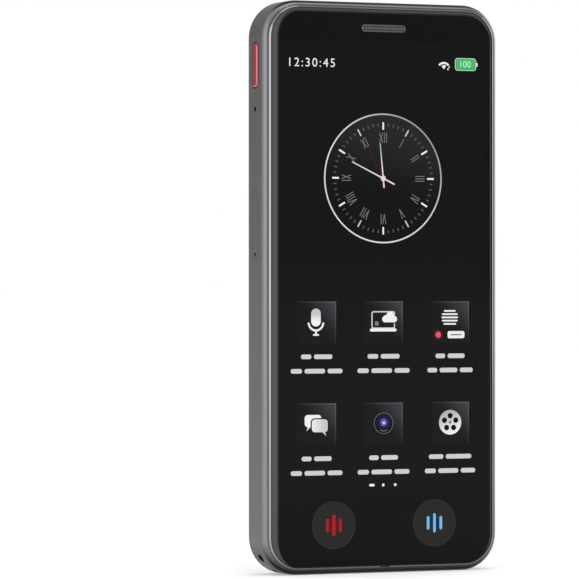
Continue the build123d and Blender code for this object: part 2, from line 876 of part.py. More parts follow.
# ---------------------------------------------------------------- camera and flash
def camera_ring():
    """Turned ring with a conical dish and a seat for the window."""
    top = rear_glass_out + ring_proud
    bottom = top - ring_depth
    seat_r = window_r + ring_fit
    points = [
        (seat_r, top - ring_dish),
        (ring_r - ring_flat, top),
        (ring_r - ring_flat / 4, top),
        (ring_r, top - ring_flat / 4),
        (ring_r, bottom),
        (window_r - window_seat, bottom),
        (window_r - window_seat, top - ring_dish - window_t),
        (seat_r, top - ring_dish - window_t),
    ]
    profile = make_face(Polyline(*points, close=True))
    return Pos(cam_x, 0, cam_z) * revolve(profile, Axis.Y)


def camera_window():
    top = rear_glass_out + ring_proud - ring_dish
    return disc(cam_x, cam_z, window_r, top - window_t, top)


def camera_housing():
    half = cam_body / 2
    y0 = plate_back + cam_base_gap
    body = plate(cam_x - half, cam_x + half, cam_z - half, cam_z + half, y0, cam_top)
    pit = sensor_w / 2 + over
    floor = y0 + cam_floor
    body -= plate(cam_x - pit, cam_x + pit, cam_z - pit, cam_z + pit, floor, floor + sensor_pit)
    return body - disc(cam_x, cam_z, barrel_r + barrel_fit, floor, cam_top + over)


def image_sensor():
    floor = plate_back + cam_base_gap + cam_floor
    half_w, half_h = sensor_w / 2, sensor_h / 2
    return plate(cam_x - half_w, cam_x + half_w, cam_z - half_h, cam_z + half_h, floor, floor + sensor_t)


def lens_barrel():
    top = cam_top - barrel_under
    barrel = disc(cam_x, cam_z, barrel_r, top - barrel_len, top)
    cone = Cone(barrel_r * 0.35, barrel_r * 0.75, barrel_len / 2)
    cone = Pos(cam_x, top - barrel_len / 4, cam_z) * Rot(-90, 0, 0) * cone
    return barrel - cone


def flash_bezel():
    top = rear_glass_out + flash_proud
    bezel = ring(cam_x, flash_z, flash_r, flash_lens_r + ring_fit, top - flash_depth, top)
    return chamfer(bezel.edges().group_by(Axis.Y)[-1], flash_proud * 2)


def flash_lens():
    top = rear_glass_out + flash_proud
    lens = disc(cam_x, flash_z, flash_lens_r, top - flash_depth, top)
    return chamfer(lens.edges().group_by(Axis.Y)[-1], flash_dome)


def flash_led():
    half = flash_led_w / 2
    y0 = carrier_y + carrier_t
    return plate(cam_x - half, cam_x + half, flash_z - half, flash_z + half, y0, y0 + flash_led_t)


# ---------------------------------------------------------------- inner covers
def antenna_carrier():
    """Moulded cover over the main board, clamped by the board screws through its columns."""
    y0, y1 = carrier_y, carrier_y + carrier_t
    cover = plate(-carrier_half, carrier_half, carrier_low, carrier_high, y0, y1, board_corner)
    for x, z in main_screws:
        cover += plate(x - column_r, x + column_r, z - column_r, z + column_r, board_back, y1)
        cover -= small_disc(x, z, screw_r + board_hole_gap, board_back - over, y1)
        cover -= small_disc(x, z, screw_head_r + column_gap, head_seat, y1 + over)
    reach = cam_notch + over
    cover -= plate(cam_x - reach, case_w, cam_z - reach, cam_z + reach, y0 - over, y1 + over)
    return cover


def antennas():
    """Foil antennas on the outer face of the carrier."""
    y0 = carrier_y + carrier_t
    x0, z1 = antenna_side - carrier_half, carrier_high - antenna_down
    upper = plate(x0, x0 + antenna_w, z1 - antenna_h, z1, y0, y0 + antenna_t)
    x0, z0 = side_antenna_side - carrier_half, carrier_low + side_antenna_up
    lower = plate(x0, x0 + side_antenna_w, z0, z0 + side_antenna_h, y0, y0 + antenna_t)
    return group([upper, lower])


# ---------------------------------------------------------------- battery and ribbons
def battery_tape():
    half = cell_half - cell_edge
    low, high = cell_low + cell_edge, cell_high - cell_edge
    return plate(-half, half, low, high, plate_back, plate_back + tape_t)


def battery_cell():
    y0 = plate_back + tape_t
    cell = plate(-cell_half, cell_half, cell_low, cell_high, y0, y0 + cell_t, cell_edge)
    return chamfer(cell.edges().group_by(Axis.Y)[-1], cell_edge / 2)


def battery_lead():
    """Flat lead from the cell's upper edge to its socket on the main board."""
    x0, x1 = lead_socket_x + over, lead_socket_x + socket_w - over
    return plate(x0, x1, cell_high, socket_low, board_back, board_back + ribbon_t)


def ribbon_path():
    low = board_back + ribbon_t / 2
    high = plate_back + tape_t + cell_t + ribbon_t
    points = [
        (low, sub_high - ribbon_tail),
        (low, sub_high + ribbon_sub_off),
        (high, sub_high + ribbon_sub_off),
        (high, cell_high + ribbon_cell_off),
        (low, cell_high + ribbon_cell_off),
        (low, main_low + ribbon_tail),
    ]
    return FilletPolyline(*points, radius=ribbon_bend)


def board_ribbon():
    """Ribbon that joins the two boards over the battery."""
    face = trace(ribbon_path(), ribbon_t)
    x0 = ribbon_x - ribbon_w / 2
    return extrude(Plane.YZ.offset(x0) * face, amount=ribbon_w)


# ---------------------------------------------------------------- speaker
def speaker_box():
    y0 = board_back
    box = plate(speaker_left, speaker_right, speaker_low, speaker_high, y0, speaker_top, board_corner)
    cx = (speaker_left + speaker_right) / 2
    cz = (speaker_low + speaker_high) / 2 + speaker_wall / 2
    half_w, half_h = driver_w / 2 + mesh_fit, driver_h / 2 + mesh_fit
    top = speaker_top - speaker_wall
    box -= plate(cx - half_w, cx + half_w, cz - half_h, cz + half_h, y0, top)
    first, last = speaker_hole_places()[0], speaker_hole_places()[-1]
    box -= plate(first - 1, last + 1, speaker_low - over, cz, y0, y0 + speaker_hole_r * 2)
    for x, z in sub_screws[:2]:
        box += plate(x - column_r, x + column_r, speaker_high - over, z + column_r, y0, head_seat, small_r)
        box -= small_disc(x, z, screw_r + board_hole_gap, y0 - over, head_seat + over)
        box -= small_disc(x, z, screw_head_r + column_gap, head_seat, speaker_top + over)
    return box


def speaker_driver():
    cx = (speaker_left + speaker_right) / 2
    cz = (speaker_low + speaker_high) / 2 + speaker_wall / 2
    top = speaker_top - speaker_wall
    half_w, half_h = driver_w / 2, driver_h / 2
    basket = plate(cx - half_w, cx + half_w, cz - half_h, cz + half_h, top - driver_t, top)
    pit_w, pit_h = half_w - speaker_wall, half_h - speaker_wall
    basket -= plate(cx - pit_w, cx + pit_w, cz - pit_h, cz + pit_h, top - driver_t, top - driver_t + over, 1)
    return basket


def speaker_cone():
    cx = (speaker_left + speaker_right) / 2
    cz = (speaker_low + speaker_high) / 2 + speaker_wall / 2
    low = speaker_top - speaker_wall - driver_t
    half_w, half_h = driver_w / 2 - speaker_wall, driver_h / 2 - speaker_wall
    cone = plate(cx - half_w, cx + half_w, cz - half_h, cz + half_h, low, low + cone_t, 1)
    return cone + plate(cx - half_w / 2, cx + half_w / 2, cz - half_h / 2, cz + half_h / 2, low, low + 2 * cone_t, 1)


def bottom_microphone():
    x = bottom_mic_x
    body = plate(x - mic_w / 2, x + mic_w / 2, sub_low, sub_low + mic_l, board_back, board_back + mic_t)
    return body - rise(Pos(x, 0) * small_round(mic_port_r / 2), sub_low - over, sub_low + over)


# ---------------------------------------------------------------- vibration motor
def across(sketch, x0, x1):
    """Solid along X; the sketch is drawn round the motor's axis."""
    return extrude(Plane.YZ.offset(x0) * Pos(motor_y, motor_z) * sketch, amount=x1 - x0)


def motor_can():
    can = across(Circle(motor_r), motor_x0, motor_x1)
    return can - across(Circle(motor_shaft_r + motor_fit), motor_x0 - over, motor_x1 - over)


def motor_shaft():
    return across(Circle(motor_shaft_r), motor_x0 - weight_gap - weight_len, motor_x1 - 2 * over)


def motor_weight():
    x1 = motor_x0 - weight_gap
    half = Circle(weight_r) - Pos(0, weight_r) * Rectangle(2 * weight_r, 2 * weight_r)
    half += Circle(2 * motor_shaft_r)
    return across(half - Circle(motor_shaft_r), x1 - weight_len, x1)


def motor_bracket():
    """Spring strap over the motor, screwed down at its upper end."""
    x1 = (motor_x0 + motor_x1) / 2 + bracket_w / 2
    gap = mesh_fit
    hoop = Circle(motor_r + gap + bracket_t) - Circle(motor_r + gap)
    hoop -= Pos(-(motor_r + gap + bracket_t), 0) * Rectangle(2 * (motor_r + gap), 4 * motor_r)
    strap = across(hoop, x1 - bracket_w, x1)
    foot_z = motor_z + motor_r + gap
    strap += plate(x1 - bracket_w, x1, foot_z, foot_z + bracket_t, board_back, motor_y + gap)
    x, z = sub_screws[2]
    strap += plate(x - column_r, x1, foot_z, z + column_r, board_back, head_seat, bracket_t)
    strap -= small_disc(x, z, screw_r + board_hole_gap, board_back - over, head_seat + over)
    return strap


# ---------------------------------------------------------------- USB socket
def usb_shell():
    outer = SlotOverall(usb_w, usb_h)
    inner = SlotOverall(usb_w - 2 * usb_wall, usb_h - 2 * usb_wall)
    return rise(outer - inner, usb_low, usb_high)


def usb_tongue():
    inner = SlotOverall(usb_w - 2 * usb_wall, usb_h - 2 * usb_wall)
    body = rise(inner, usb_plug_end, usb_high)
    return body + rise(RectangleRounded(usb_tongue_w, usb_tongue_t, usb_tongue_t / 4), usb_tongue_low, usb_plug_end)


# ---------------------------------------------------------------- build
PARTS = [
    metal_frame, cover_glass, rear_glass, glass_glue, lcd_panel, backlight_unit,
    earpiece_mesh, earpiece_receiver, touch_guides, touch_key_flex, touch_key_leds,
    power_button, red_key, red_key_inlay, blue_key, blue_key_inlay,
    power_switch, talk_switches, power_flex, key_flex, side_microphone,
    mid_plate, main_board, sub_board, board_screws,
    processor_shield, radio_shield, board_chips, board_sockets,
    sim_tray, sim_cards, sim_base, sim_cage, eject_rod, eject_lever,
    camera_ring, camera_window, camera_housing, image_sensor, lens_barrel,
    flash_bezel, flash_lens, flash_led, antenna_carrier, antennas,
    battery_tape, battery_cell, battery_lead, board_ribbon,
    speaker_box, speaker_driver, speaker_cone, bottom_microphone,
    motor_can, motor_shaft, motor_weight, motor_bracket,
    usb_shell, usb_tongue,
]

if __name__ == "__main__":
    os.makedirs("parts", exist_ok=True)
    for make in PARTS:
        export_step(make(), os.path.join("parts", make.__name__ + ".step"))
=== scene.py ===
import math
import bmesh
import bpy
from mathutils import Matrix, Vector


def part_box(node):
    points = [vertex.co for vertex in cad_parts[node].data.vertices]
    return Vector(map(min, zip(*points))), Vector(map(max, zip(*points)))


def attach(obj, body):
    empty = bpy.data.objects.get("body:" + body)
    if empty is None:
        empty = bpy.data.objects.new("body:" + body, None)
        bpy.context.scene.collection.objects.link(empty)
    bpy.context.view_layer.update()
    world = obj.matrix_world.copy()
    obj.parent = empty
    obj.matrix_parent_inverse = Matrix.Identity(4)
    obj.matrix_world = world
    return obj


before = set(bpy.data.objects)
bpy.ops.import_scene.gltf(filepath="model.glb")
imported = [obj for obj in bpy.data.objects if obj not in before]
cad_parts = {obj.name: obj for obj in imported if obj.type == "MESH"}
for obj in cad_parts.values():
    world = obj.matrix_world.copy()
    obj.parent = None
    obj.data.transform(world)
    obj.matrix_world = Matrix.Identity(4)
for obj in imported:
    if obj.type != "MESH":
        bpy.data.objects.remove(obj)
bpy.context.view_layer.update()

# Shapes are written in millimetres and set down in metres.
# The screen lies in X and Z and faces -Y. Centres are given as x and z.
MM = 0.001
BODY = "case"


def low(node):
    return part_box(node)[0] / MM


def high(node):
    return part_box(node)[1] / MM


def middle(node):
    return (low(node) + high(node)) / 2


# ---------------------------------------------------------------- places taken from the frame
GLASS_Y = low("cover_glass").y
MID_Z = high("metal_frame").z / 2
DISPLAY_LOW = low("lcd_panel")
DISPLAY_HIGH = high("lcd_panel")
TOUCH_Z = middle("touch_guides").z
TOUCH_R = high("touch_guides").z - TOUCH_Z
TOUCH_LEFT = low("touch_guides").x + TOUCH_R
TOUCH_RIGHT = high("touch_guides").x - TOUCH_R
CORNER_R = 9.3  # of the case's outline
GLUE_IN = 2.0  # from the flat side of the case to the glue under the glass
SIDE_X = high("glass_glue").x + GLUE_IN
GLASS_IN = SIDE_X - high("cover_glass").x  # from the case's outline to the glass
CAMERA = middle("camera_ring")
FLASH = middle("flash_bezel")

# ---------------------------------------------------------------- screen layout
SINK = 0.02  # how far each printed or lit shape reaches into the glass
LEVEL = 0.003  # height of one layer of shapes on the glass
GLOW, FIELD, PRINT, ICON = 1, 2, 3, 4  # layers on the glass, the lowest first
DISPLAY_INSET = 0.4
DISPLAY_CORNER = 1.6
CLOCK_Z = MID_Z + 27.17
CLOCK_R = 15.97
STATUS_Z = MID_Z + 56.0
DOTS_Z = MID_Z - 49.1
TILE = 10.5
TILE_COLUMNS = (-18.15, 0.1, 18.5)
TILE_ROWS = (MID_Z - 8.7, MID_Z - 33.9)
LABEL_DROPS = (8.4, 11.95)  # tile centre to the middle of each line of its label
LABEL_WIDTHS = (  # of the two lines of each label, row by row
    ((8.5, 14.0), (8.8, 14.3), (8.1, 12.6)),
    ((8.1, 14.0), (7.9, 14.2), (11.8, 14.0)),
)
LABEL_SHARES = ((0.36, 0.64), (0.24, 0.44, 0.32))  # dashes of the first and second line
LABEL_H = 1.15
LABEL_GAP = 0.7
LABEL_CORNER = 0.45 * LABEL_H

# ---------------------------------------------------------------- camera
LENS_MM = 251.0
SENSOR_MM = 36.0
FARTHEST = 400.0  # metres
CAMERA_PLACE = (-0.42591, -0.91604, 0.07052)  # metres
CAMERA_TURN = -23.75  # degrees from looking along +Y


def make_camera():
    data = bpy.data.cameras.new("camera")
    data.lens = LENS_MM
    data.sensor_width = SENSOR_MM
    data.clip_end = FARTHEST
    camera = bpy.data.objects.new("camera", data)
    camera.location = CAMERA_PLACE
    camera.rotation_euler = (math.radians(90), 0, math.radians(CAMERA_TURN))
    bpy.context.scene.collection.objects.link(camera)
    bpy.context.scene.camera = camera


make_camera()
bpy.context.scene.view_settings.view_transform = "Standard"


# ---------------------------------------------------------------- colours
def srgb(*values):
    """Colour given as 0 to 255 display values, as linear light."""
    out = []
    for value in values:
        share = value / 255
        out.append(share / 12.92 if share <= 0.04045 else ((share + 0.055) / 1.055) ** 2.4)
    return (*out, 1.0)


def grey(value):
    return srgb(value, value, value)


def shade(colour, factor):
    return tuple(min(1.0, part * factor) for part in colour[:3]) + (1.0,)


# ---------------------------------------------------------------- shader helpers
class Value:
    """Output of a node, on which Python's + - * / and abs() work."""

    def __init__(self, nodes, output):
        self.nodes = nodes
        self.output = output

    def __add__(self, other):
        return self.nodes.math("ADD", self, other)

    def __sub__(self, other):
        return self.nodes.math("SUBTRACT", self, other)

    def __rsub__(self, other):
        return self.nodes.math("SUBTRACT", other, self)

    def __mul__(self, other):
        return self.nodes.math("MULTIPLY", self, other)

    def __truediv__(self, other):
        return self.nodes.math("DIVIDE", self, other)

    def __abs__(self):
        return self.nodes.math("ABSOLUTE", self)

    def at_least(self, other):
        return self.nodes.math("MAXIMUM", self, other)

    def at_most(self, other):
        return self.nodes.math("MINIMUM", self, other)

    def exceeds(self, other):
        """One where it is more than the other, else zero."""
        return self.nodes.math("GREATER_THAN", self, other)

    def root(self):
        return self.nodes.math("SQRT", self)

    def sine(self):
        return self.nodes.math("SINE", self)

    def cosine(self):
        return self.nodes.math("COSINE", self)


class Nodes:
    """A node tree, with short calls for the nodes used here."""

    def __init__(self, tree):
        self.tree = tree
        self.coordinates = tree.nodes.new("ShaderNodeTexCoord")

    def put(self, socket, value):
        """Gives a socket a constant or the output of another node."""
        if isinstance(value, Value):
            self.tree.links.new(value.output, socket)
        else:
            socket.default_value = value

    def math(self, operation, first, second=0.0):
        node = self.tree.nodes.new("ShaderNodeMath")
        node.operation = operation
        self.put(node.inputs[0], first)
        self.put(node.inputs[1], second)
        return Value(self, node.outputs[0])

    def ranged(self, value, from_low, from_high, to_low=0.0, to_high=1.0, smooth=False):
        node = self.tree.nodes.new("ShaderNodeMapRange")
        node.interpolation_type = "SMOOTHSTEP" if smooth else "LINEAR"
        names = ("Value", "From Min", "From Max", "To Min", "To Max")
        for name, number in zip(names, (value, from_low, from_high, to_low, to_high)):
            self.put(node.inputs[name], number)
        return Value(self, node.outputs["Result"])

    def mix(self, factor, first, second):
        """Blend of two colours."""
        node = self.tree.nodes.new("ShaderNodeMix")
        node.data_type = "RGBA"
        for slot, value in ((0, factor), (6, first), (7, second)):
            self.put(node.inputs[slot], value)
        return Value(self, node.outputs[2])

    def axis(self, which, source="Object"):
        node = self.tree.nodes.new("ShaderNodeSeparateXYZ")
        self.tree.links.new(self.coordinates.outputs[source], node.inputs[0])
        return Value(self, node.outputs[which])

    def noise(self, size, detail=3.0, stretch=(1, 1, 1)):
        """Noise with spots of a size in millimetres."""
        place = self.tree.nodes.new("ShaderNodeMapping")
        place.inputs["Scale"].default_value = stretch
        self.tree.links.new(self.coordinates.outputs["Object"], place.inputs["Vector"])
        node = self.tree.nodes.new("ShaderNodeTexNoise")
        node.inputs["Scale"].default_value = 1 / (size * MM)
        node.inputs["Detail"].default_value = detail
        self.tree.links.new(place.outputs["Vector"], node.inputs["Vector"])
        return Value(self, node.outputs["Fac"])

    def noise_along(self, value, scale, detail):
        """Noise that changes along one value alone."""
        node = self.tree.nodes.new("ShaderNodeTexNoise")
        node.noise_dimensions = "1D"
        node.inputs["Scale"].default_value = scale
        node.inputs["Detail"].default_value = detail
        self.put(node.inputs["W"], value)
        return Value(self, node.outputs["Fac"])

    def seen_by(self, *rays):
        """One for rays of the named kinds, else zero."""
        path = self.tree.nodes.new("ShaderNodeLightPath")
        first, *others = (Value(self, path.outputs[f"Is {ray} Ray"]) for ray in rays)
        for other in others:
            first = first.at_least(other)
        return first


NOISE_LOW, NOISE_HIGH = 0.3, 0.7  # most of a noise lies between these
SPOT_CORE, BAND_CORE = 0.15, 0.4  # share of a soft spot or band that has its full strength
BROAD_SPOTS = 6.0  # size of the uneven tone of a plain surface
ROUGH_SPREAD = 0.18  # how far its roughness wavers, as a share of it


class Shader(Nodes):
    """A material's node tree, with fields that follow the form of the case."""

    def __init__(self, name):
        self.material = bpy.data.materials.new(name)
        self.material.use_nodes = True
        super().__init__(self.material.node_tree)
        self.surface = self.tree.nodes["Principled BSDF"]

    def set(self, **sockets):
        for name, value in sockets.items():
            self.put(self.surface.inputs[name.replace("_", " ")], value)

    def rough(self, noise, centre, spread):
        rough = self.ranged(noise, NOISE_LOW, NOISE_HIGH, centre - spread, centre + spread)
        self.set(Roughness=rough)

    def bump(self, relief, height):
        node = self.tree.nodes.new("ShaderNodeBump")
        node.inputs["Distance"].default_value = height * MM
        self.put(node.inputs["Height"], relief)
        self.set(Normal=Value(self, node.outputs["Normal"]))

    def inset(self):
        """Distance in millimetres from the case's outline inwards, seen from the front or the back."""
        x = abs(self.axis("X")) - (SIDE_X - CORNER_R) * MM
        z = abs(self.axis("Z") - MID_Z * MM) - (MID_Z - CORNER_R) * MM
        out_x, out_z = x.at_least(0.0), z.at_least(0.0)
        beyond = (out_x * out_x + out_z * out_z).root() + x.at_least(z).at_most(0.0)
        return CORNER_R - beyond / MM

    def by_side(self, left, right, top, bottom):
        """Value that belongs to the nearest side of the case and turns over at its corners."""
        x, z = self.axis("X"), self.axis("Z") - MID_Z * MM
        squares = []
        for place, half in ((x, SIDE_X), (z, MID_Z)):
            beyond = (abs(place) - (half - CORNER_R) * MM).at_least(MM / 1000) / MM  # never zero
            squares.append(beyond * beyond)
        share = squares[1] / (squares[0] + squares[1])
        across = self.ranged(x, -MM, MM, left, right)
        along = self.ranged(z, -MM, MM, bottom, top)
        return across * (1.0 - share) + along * share

    def distance(self, x, z):
        """Distance in millimetres from an axis along Y."""
        off_x, off_z = self.axis("X") - x * MM, self.axis("Z") - z * MM
        return (off_x * off_x + off_z * off_z).root() / MM

    def angle(self, x, z):
        """Angle in radians round an axis along Y."""
        return self.math("ARCTAN2", self.axis("Z") - z * MM, self.axis("X") - x * MM)

    def spot(self, x, z, r):
        """Soft round patch."""
        return self.ranged(self.distance(x, z), r, r * SPOT_CORE, smooth=True)

    def beside(self, node, side, hidden, reach):
        """Band around a key or tray in the side of the case; hidden is how much wider it is inside."""
        centre, half = middle(node), (high(node) - low(node)) / 2
        end = half.y - hidden  # its ends are round
        straight = half.z - hidden - end
        off_y = (self.axis("Y") - centre.y * MM) / MM
        off_z = (abs(self.axis("Z") - centre.z * MM) - straight * MM).at_least(0.0) / MM
        away = (off_y * off_y + off_z * off_z).root() - end
        this_side = (self.axis("X") * side).exceeds(CORNER_R * MM)
        return self.ranged(away, reach, reach * BAND_CORE, smooth=True) * this_side


def finish(name, colour, rough, metal=0.0, grain=0.08, bump=0.002, tone=0.12, stretch=(1, 1, 1), coat=0.0):
    """Plain moulded, stamped or plated surface: uneven tone, fine grain and a little relief."""
    shader = Shader(name)
    broad = shader.noise(BROAD_SPOTS, stretch=stretch)
    fine = shader.noise(grain, stretch=stretch)
    both = broad * 0.5 + fine * 0.5
    body = shader.mix(both, shade(colour, 1 - tone), shade(colour, 1 + tone))
    shader.set(Base_Color=body, Metallic=metal, Coat_Weight=coat)
    shader.rough(fine, rough, rough * ROUGH_SPREAD)
    shader.bump(fine, bump)
    return shader.material


# ---------------------------------------------------------------- metal of the case
FLANGE = 0.6  # hidden rim of a key
KEY_SHADES = (  # node, its side, its hidden rim, and the reach and colour of the painted shade round it
    ("power_button", -1, FLANGE, 0.75, srgb(52, 26, 28)),
    ("sim_tray", -1, 0.0, 0.22, srgb(60, 60, 61)),
    ("red_key", 1, FLANGE, 0.5, srgb(30, 29, 29)),
    ("blue_key", 1, FLANGE, 0.5, srgb(30, 29, 29)),
)
LIP = 0.4  # depth of the polished cut beside each glass, whose tone is painted light and shade by side
SATIN = (srgb(97, 97, 99), srgb(107, 107, 109))
# Painted highlight on the rounded shoulders of the band.
SHOULDER_HIGHLIGHT = srgb(136, 136, 138)
LINE_DARK_REFLECTION = srgb(52, 52, 54)  # painted dark reflection where the shoulder meets the lip
UPPER_SHADE = srgb(24, 24, 25)  # painted shade on the shoulders along the top
LOWER_SHADE = srgb(40, 40, 41)  # painted shade on the shoulders and corners along the bottom
# Painted shade and painted highlight of the polished lips.
CUT_SHADE_TO_HIGHLIGHT = (srgb(60, 60, 61), srgb(158, 158, 160))
CUT_PAINTED_LIGHT = (1.0, 0.6, 0.45, 0.4)  # painted light on the lip, brightest on the left: left, right, top, bottom
# Each painted tone comes in between two shares of the normal along Y, or along Z for the painted upper and
# lower shade.
SHOULDER_TURN = (0.02, 0.42)
LINE_TURN = (0.84, 0.93)
OFF_FLAT_TURN = (0.02, 0.14)
UPPER_TURN = (0.55, 0.8)
LOWER_TURN = (-0.1, -0.6)
LOWER_FLAT_SHARE = 0.88  # of the painted lower shade on the flat of the corners
BLASTED_ROUGH = (0.30, 0.38)
LIP_POLISH = 0.18


def frame_metal(name, key_shades=()):
    """Blasted, anodised band with polished lips; painted highlights, dark reflections and shade by its
    turn and side.
    """
    shader = Shader(name)
    grit = shader.noise(0.07, detail=2.0)
    facing = abs(shader.axis("Y", "Normal"))
    height = shader.axis("Z", "Normal")
    lip = abs(shader.axis("Y")).exceeds((high("metal_frame").y - LIP) * MM)
    shoulder = shader.ranged(facing, *SHOULDER_TURN, smooth=True)
    line = shader.ranged(facing, *LINE_TURN, smooth=True)
    off_flat = shader.ranged(facing, *OFF_FLAT_TURN, smooth=True)
    above = shader.ranged(height, *UPPER_TURN, smooth=True) * off_flat
    below = shader.ranged(height, *LOWER_TURN)
    below = below * shader.ranged(off_flat, 0.0, 1.0, LOWER_FLAT_SHARE, 1.0)
    body = shader.mix(shader.noise(14.0), *SATIN)
    painted_tones = ((shoulder, SHOULDER_HIGHLIGHT), (line, LINE_DARK_REFLECTION), (above, UPPER_SHADE), (below, LOWER_SHADE))
    for share, tone in painted_tones:
        body = shader.mix(share, body, tone)
    # The polished lips, painted lighter on the left than on the other sides.
    cut = shader.mix(shader.by_side(*CUT_PAINTED_LIGHT), *CUT_SHADE_TO_HIGHLIGHT)
    body = shader.mix(lip, body, cut)
    # Painted shade round each key and the tray; beside the red key it is reddish, a painted reflection.
    for node, side, hidden, reach, dark in key_shades:
        body = shader.mix(shader.beside(node, side, hidden, reach), body, dark)
    blasted = shader.ranged(grit, NOISE_LOW, NOISE_HIGH, *BLASTED_ROUGH)
    shader.set(Base_Color=body, Roughness=blasted - lip * LIP_POLISH, Metallic=1.0)
    shader.bump(grit, 0.0012)
    return shader.material


KEY_CUT_TURN = (0.99, 0.75)  # share of the normal along X where the cut edge, with its painted edge tone, comes in
KEY_TONES = (0.88, 1.12)


def anodised(name, face, edge):
    """Dyed and anodised key: fine grit, and a painted edge tone where its cut edge turns."""
    shader = Shader(name)
    cut = shader.ranged(abs(shader.axis("X", "Normal")), *KEY_CUT_TURN, smooth=True)
    grit = shader.noise(0.06, detail=2.0)
    body = shader.mix(shader.noise(3.0), *(shade(face, factor) for factor in KEY_TONES))
    shader.set(Base_Color=shader.mix(cut, body, edge), Metallic=0.75)
    shader.rough(grit, 0.34, 0.05)
    shader.bump(grit, 0.001)
    return shader.material


# ---------------------------------------------------------------- glass of the case
GLASS_SHEEN = 0.06  # the coated glass mirrors little
FRONT_EDGE_SHEEN = (2.1, 0.65, 1.2, 0.08)  # painted reflection, a light band in the glass edge: left, right, top, bottom
REAR_EDGE_SHEEN = (0.7, 0.9, 0.7, 0.3)
EVEN_SHARE = (0.55, 0.55, 0.0, 0.5)  # share of that band that is lit evenly
SEAM_SHADE_SHARE = (1.0, 1.0, 0.25, 1.0)  # how far the painted shade beside the gap darkens the glass edge, by side
SEAM_SHADE_REACH = (0.3, 0.1)  # from where it begins to where it is full
BACKING_TONES = (grey(20), grey(25))
EDGE_SHEEN_TONE = srgb(98, 98, 99)
# Painted shade beside the gap round the glass.
SEAM_SHADE_TONE = srgb(48, 48, 49)


def black_glass(name, sheen_widths):
    """Polished glass printed black behind, faintly uneven; painted reflection and shade along its edge."""
    shader = Shader(name)
    depth = shader.inset() - GLASS_IN
    share = depth / shader.by_side(*sheen_widths)
    fading = (1.0 - share) / (1.0 - shader.by_side(*EVEN_SHARE))
    # Painted reflection: the light band along the curved edge.
    edge = shader.ranged(fading, 0.0, 1.0, smooth=True)
    seam_shade = shader.ranged(depth, *SEAM_SHADE_REACH, smooth=True) * shader.by_side(*SEAM_SHADE_SHARE)
    tone = shader.mix(shader.noise(25.0, detail=2.0), *BACKING_TONES)
    tone = shader.mix(edge, tone, EDGE_SHEEN_TONE)
    tone = shader.mix(seam_shade, tone, SEAM_SHADE_TONE)
    shader.set(Base_Color=tone, IOR=1.5, Specular_IOR_Level=GLASS_SHEEN)
    shader.rough(shader.noise(9.0, detail=4.0, stretch=(1, 1, 0.25)), 0.05, 0.02)
    shader.bump(shader.noise(18.0, detail=1.0), 0.004)
    return shader.material


# ---------------------------------------------------------------- materials of the camera and flash
FAN_COUNT = 4.0
FAN_LEAN = 1.6  # how far the fans on the left lean over
SPLIT_COUNT, SPLIT_START, SPLIT_DEPTH = 13.0, 1.2, 0.22  # finer streaks between the fans
FAN_RANGE = (-1.0, 0.45)
SCRATCH_SCALE, SCRATCH_DETAIL = 14.0, 4.0
WORN_RANGE = (0.45, 0.9)  # of the scratches
FAN_SHADE_TO_HIGHLIGHT = (srgb(76, 74, 72), grey(224))
WORN_TONE = srgb(150, 149, 148)


def spun_steel():
    """Dish turned on a lathe: fine circular scratches, with fans of painted highlight and painted shade
    across them.
    """
    shader = Shader("spun_steel")
    angle, away = shader.angle(CAMERA.x, CAMERA.z), shader.distance(CAMERA.x, CAMERA.z)
    scratches = shader.noise_along(away, SCRATCH_SCALE, SCRATCH_DETAIL)
    back = angle.cosine().at_most(0.0)
    fans = (angle * FAN_COUNT - back * back * FAN_LEAN).cosine()
    split = (angle * SPLIT_COUNT + SPLIT_START).sine()
    tone = shader.ranged(split * SPLIT_DEPTH - fans, *FAN_RANGE, smooth=True)
    # The fans are painted highlights and painted shade.
    steel = shader.mix(tone, *FAN_SHADE_TO_HIGHLIGHT)
    worn = shader.ranged(scratches, *WORN_RANGE)
    shader.set(Base_Color=shader.mix(worn, steel, WORN_TONE), Metallic=1.0, Anisotropic=0.7)
    shader.rough(scratches, 0.26, 0.05)
    shader.bump(scratches, 0.001)
    tangent = shader.tree.nodes.new("ShaderNodeTangent")
    tangent.direction_type = "RADIAL"
    tangent.axis = "Y"
    shader.set(Tangent=Value(shader, tangent.outputs[0]))
    return shader.material


def clear_glass():
    """Window over the lens, coated so that it mirrors little."""
    shader = Shader("clear_glass")
    haze = shader.noise(1.5, detail=2.0)
    tint = shader.mix(haze, (0.86, 0.89, 0.98, 1.0), (0.95, 0.95, 1.0, 1.0))
    shader.set(Base_Color=tint, IOR=1.18, Transmission_Weight=1.0)
    shader.rough(haze, 0.02, 0.01)
    shader.bump(haze, 0.0005)
    return shader.material


PALING = (0.7, 2.3)  # radii between which the yellow fades
RIPPLES = 22.0  # of the relief, in radians per millimetre


def flash_milk():
    """Milky lens over the pale yellow phosphor, which shows strongest in the middle."""
    shader = Shader("flash_lens")
    away = shader.distance(FLASH.x, FLASH.z)
    mottle = shader.noise(0.5)
    yellow = shader.mix(mottle, srgb(250, 248, 138), srgb(252, 250, 156))
    paling = shader.ranged(away, *PALING, smooth=True)
    shader.set(Base_Color=shader.mix(paling, yellow, srgb(252, 252, 236)), IOR=1.49)
    shader.rough(mottle, 0.22, 0.05)
    shader.bump((away * RIPPLES).sine(), 0.01)
    return shader.material


